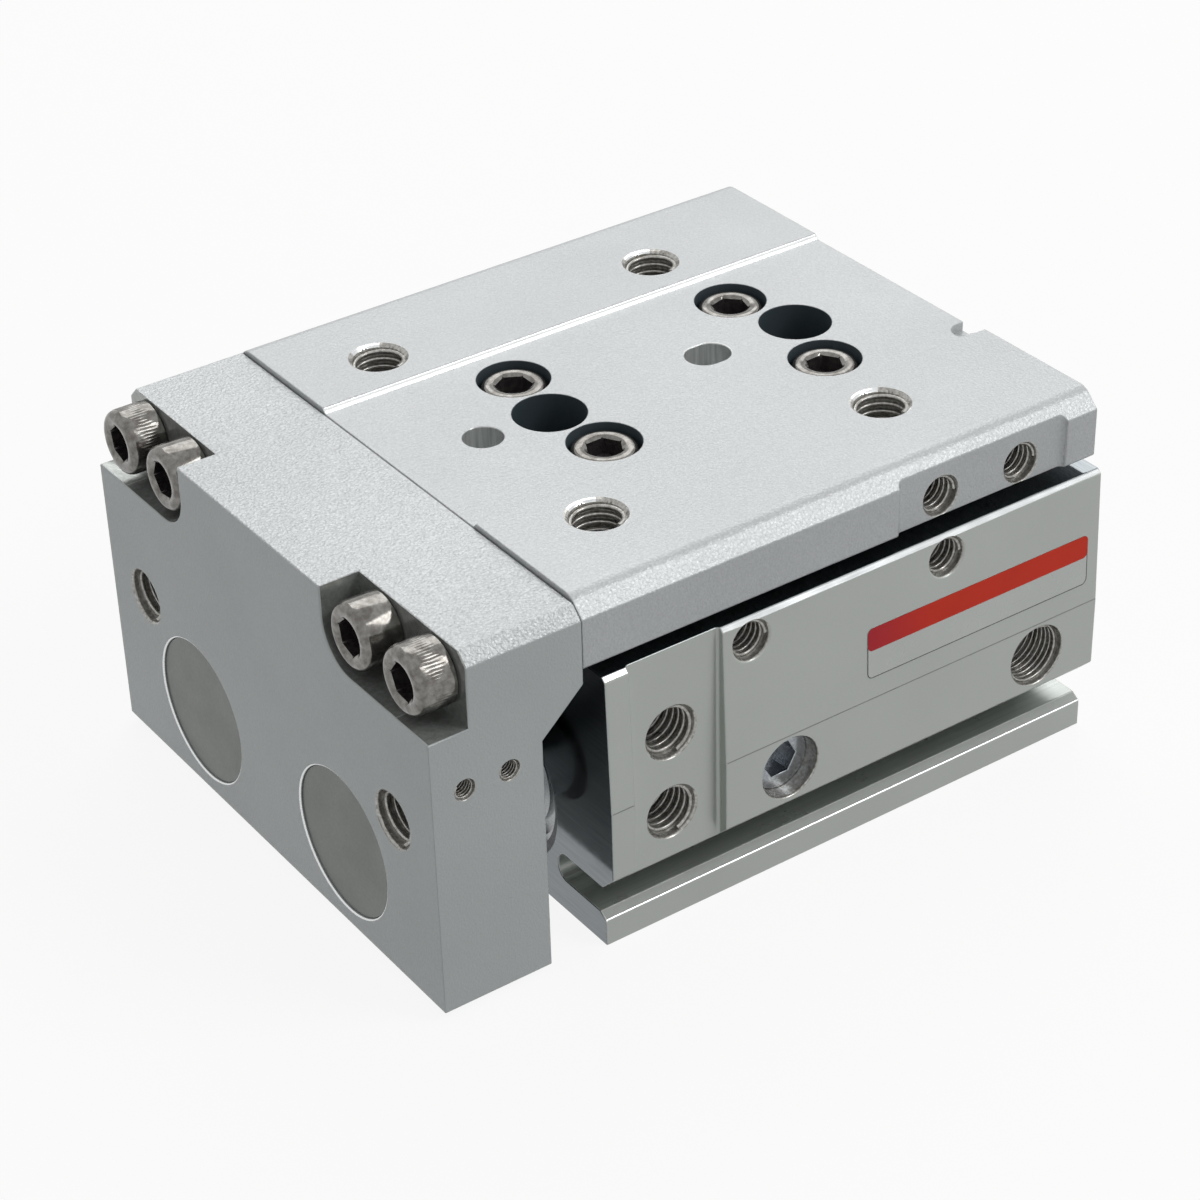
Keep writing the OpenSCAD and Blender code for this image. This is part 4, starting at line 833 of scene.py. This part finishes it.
def red_ink():
    """Red ink under a satin polyester film, which darkens to crimson over its first centimetre."""
    material = moulded("printed_red_film", "#F93D22", "#F03A20", (0.34, 0.42), relief_mm=0.001, gloss=0.22)
    tree = material.node_tree
    colour = tree.nodes["Principled BSDF"].inputs["Base Color"]
    ink = colour.links[0].from_socket
    at = node(tree, "ShaderNodeTexCoord").outputs["Object"]
    along = node(tree, "ShaderNodeSeparateXYZ", {0: at}).outputs[0]
    fade = node(tree, "ShaderNodeMapRange", {0: along, 1: mm(71.9 - X0), 2: mm(84 - X0), 3: 0.0, 4: 1.0})
    faded = node(tree, "ShaderNodeMix", {0: fade.outputs[0], 6: linear("#D22C3C"), 7: ink}, data_type="RGBA")
    tree.links.new(faded.outputs[2], colour)
    return material


# the bare part of the film: clear polyester over the aluminium, a shade duller and smoother
clear_film = blasted_aluminium("clear_film_on_aluminium", "#CDD1CD", grain_mm=2.5, contrast=0.01,
                               rough=(0.24, 0.3), relief_mm=0.001, metallic=0.25)
# painted shade: a thin dark grey outline round the film's edge
film_edge_shade = moulded("printed_grey_edge", "#5B5E5D", "#636665", (0.35, 0.45), relief_mm=0.001)
LABEL = (71.9 - X0, 113.8 - X0, 27.6, 36.0)
film("label_film", rounded(*LABEL, 1.0), 0.0, 0.05, clear_film)
film("label_edge", rounded(*LABEL, 1.0), 0.05, 0.02, film_edge_shade,
     rounded(LABEL[0] + 0.13, LABEL[1] - 0.13, LABEL[2] + 0.13, LABEL[3] - 0.13, 0.87))
film("label_band", rounded(LABEL[0] + 0.05, LABEL[1] - 0.05, 32.2, LABEL[3] - 0.05, 0.9), 0.05, 0.04,
     red_ink())

# ---------------------------------------------------------------- stage

FLOOR_HALF = 4000                            # half the floor's width in mm
FLOOR_GLOW = 0.89                            # share of plain white in the floor that is seen
FLOOR_BOUNCE = "#5E6363"                     # the grey that the floor's diffuse bounce takes
SKY_LOW, SKY_HIGH = 0.12, 0.44               # strength of the studio's walls and of its ceiling


def seen_straight(tree):
    """1 for rays by which the eye, a reflection or clear glass sees the studio, and 0 for diffuse ones."""
    path = node(tree, "ShaderNodeLightPath").outputs
    sharp = node(tree, "ShaderNodeMath", {0: path["Is Camera Ray"], 1: path["Is Glossy Ray"]},
                 operation="MAXIMUM")
    return node(tree, "ShaderNodeMath", {0: sharp.outputs[0], 1: path["Is Transmission Ray"]},
                operation="MAXIMUM").outputs[0]


floor_mesh = bpy.data.meshes.new("floor")
floor_corners = [mm(x * FLOOR_HALF, y * FLOOR_HALF, 0) for x, y in ((-1, -1), (1, -1), (1, 1), (-1, 1))]
floor_mesh.from_pydata(floor_corners, [], [(0, 1, 2, 3)])
floor = link("floor", floor_mesh)
# pale paper to the eye and in reflections, but a mid-grey bounce, so that the sides keep their tone
material, tree, bsdf = finish_of("pale_studio_floor", Roughness=0.9)
direct = seen_straight(tree)
paper = node(tree, "ShaderNodeMix", {0: direct, 6: linear(FLOOR_BOUNCE), 7: linear("#F6F6F5")},
             data_type="RGBA")
tree.links.new(paper.outputs[2], bsdf.inputs["Base Color"])
glow = node(tree, "ShaderNodeEmission", {"Color": (1, 1, 1, 1), "Strength": 1.0})
share = node(tree, "ShaderNodeMath", {0: direct, 1: FLOOR_GLOW}, operation="MULTIPLY")
whole = node(tree, "ShaderNodeMixShader", {0: share.outputs[0], 1: bsdf.outputs[0], 2: glow.outputs[0]})
tree.links.new(whole.outputs[0], tree.nodes["Material Output"].inputs["Surface"])
floor_mesh.materials.append(material)

world = bpy.data.worlds.new("studio")
bpy.context.scene.world = world
world.use_nodes = True
sky = world.node_tree
sky.nodes.clear()
aim = node(sky, "ShaderNodeTexCoord").outputs["Generated"]
height = node(sky, "ShaderNodeSeparateXYZ", {0: aim}).outputs[2]
soft = node(sky, "ShaderNodeMapRange", {0: height, 1: 0.05, 2: 0.9, 3: SKY_LOW, 4: SKY_HIGH})
light = node(sky, "ShaderNodeBackground", {"Color": (1, 1, 1, 1), "Strength": soft.outputs[0]})
white = node(sky, "ShaderNodeBackground", {"Color": (1, 1, 1, 1), "Strength": 1.0})
either = node(sky, "ShaderNodeMixShader", {0: seen_straight(sky), 1: light.outputs[0],
                                           2: white.outputs[0]})
node(sky, "ShaderNodeOutputWorld", {0: either.outputs[0]})


def softbox(name, at, towards, size, watts):
    data = bpy.data.lights.new(name, "AREA")
    data.shape, data.size, data.size_y, data.energy = "RECTANGLE", size[0], size[1], watts
    lamp = bpy.data.objects.new(name, data)
    bpy.context.scene.collection.objects.link(lamp)
    lamp.location = at
    lamp.rotation_mode = "QUATERNION"
    lamp.rotation_quaternion = (Vector(towards) - Vector(at)).to_track_quat("-Z", "Y")
    return lamp


softbox("back_softbox", (0.40, 0.56, 0.75), (0, 0, 0.03), (0.8, 0.6), 3.05)
softbox("edge_softbox", (0.474, -0.547, 0.73), (0, 0, 0.04), (0.4, 0.4), 3.0)

scene = bpy.context.scene
scene.view_settings.view_transform = "Standard"
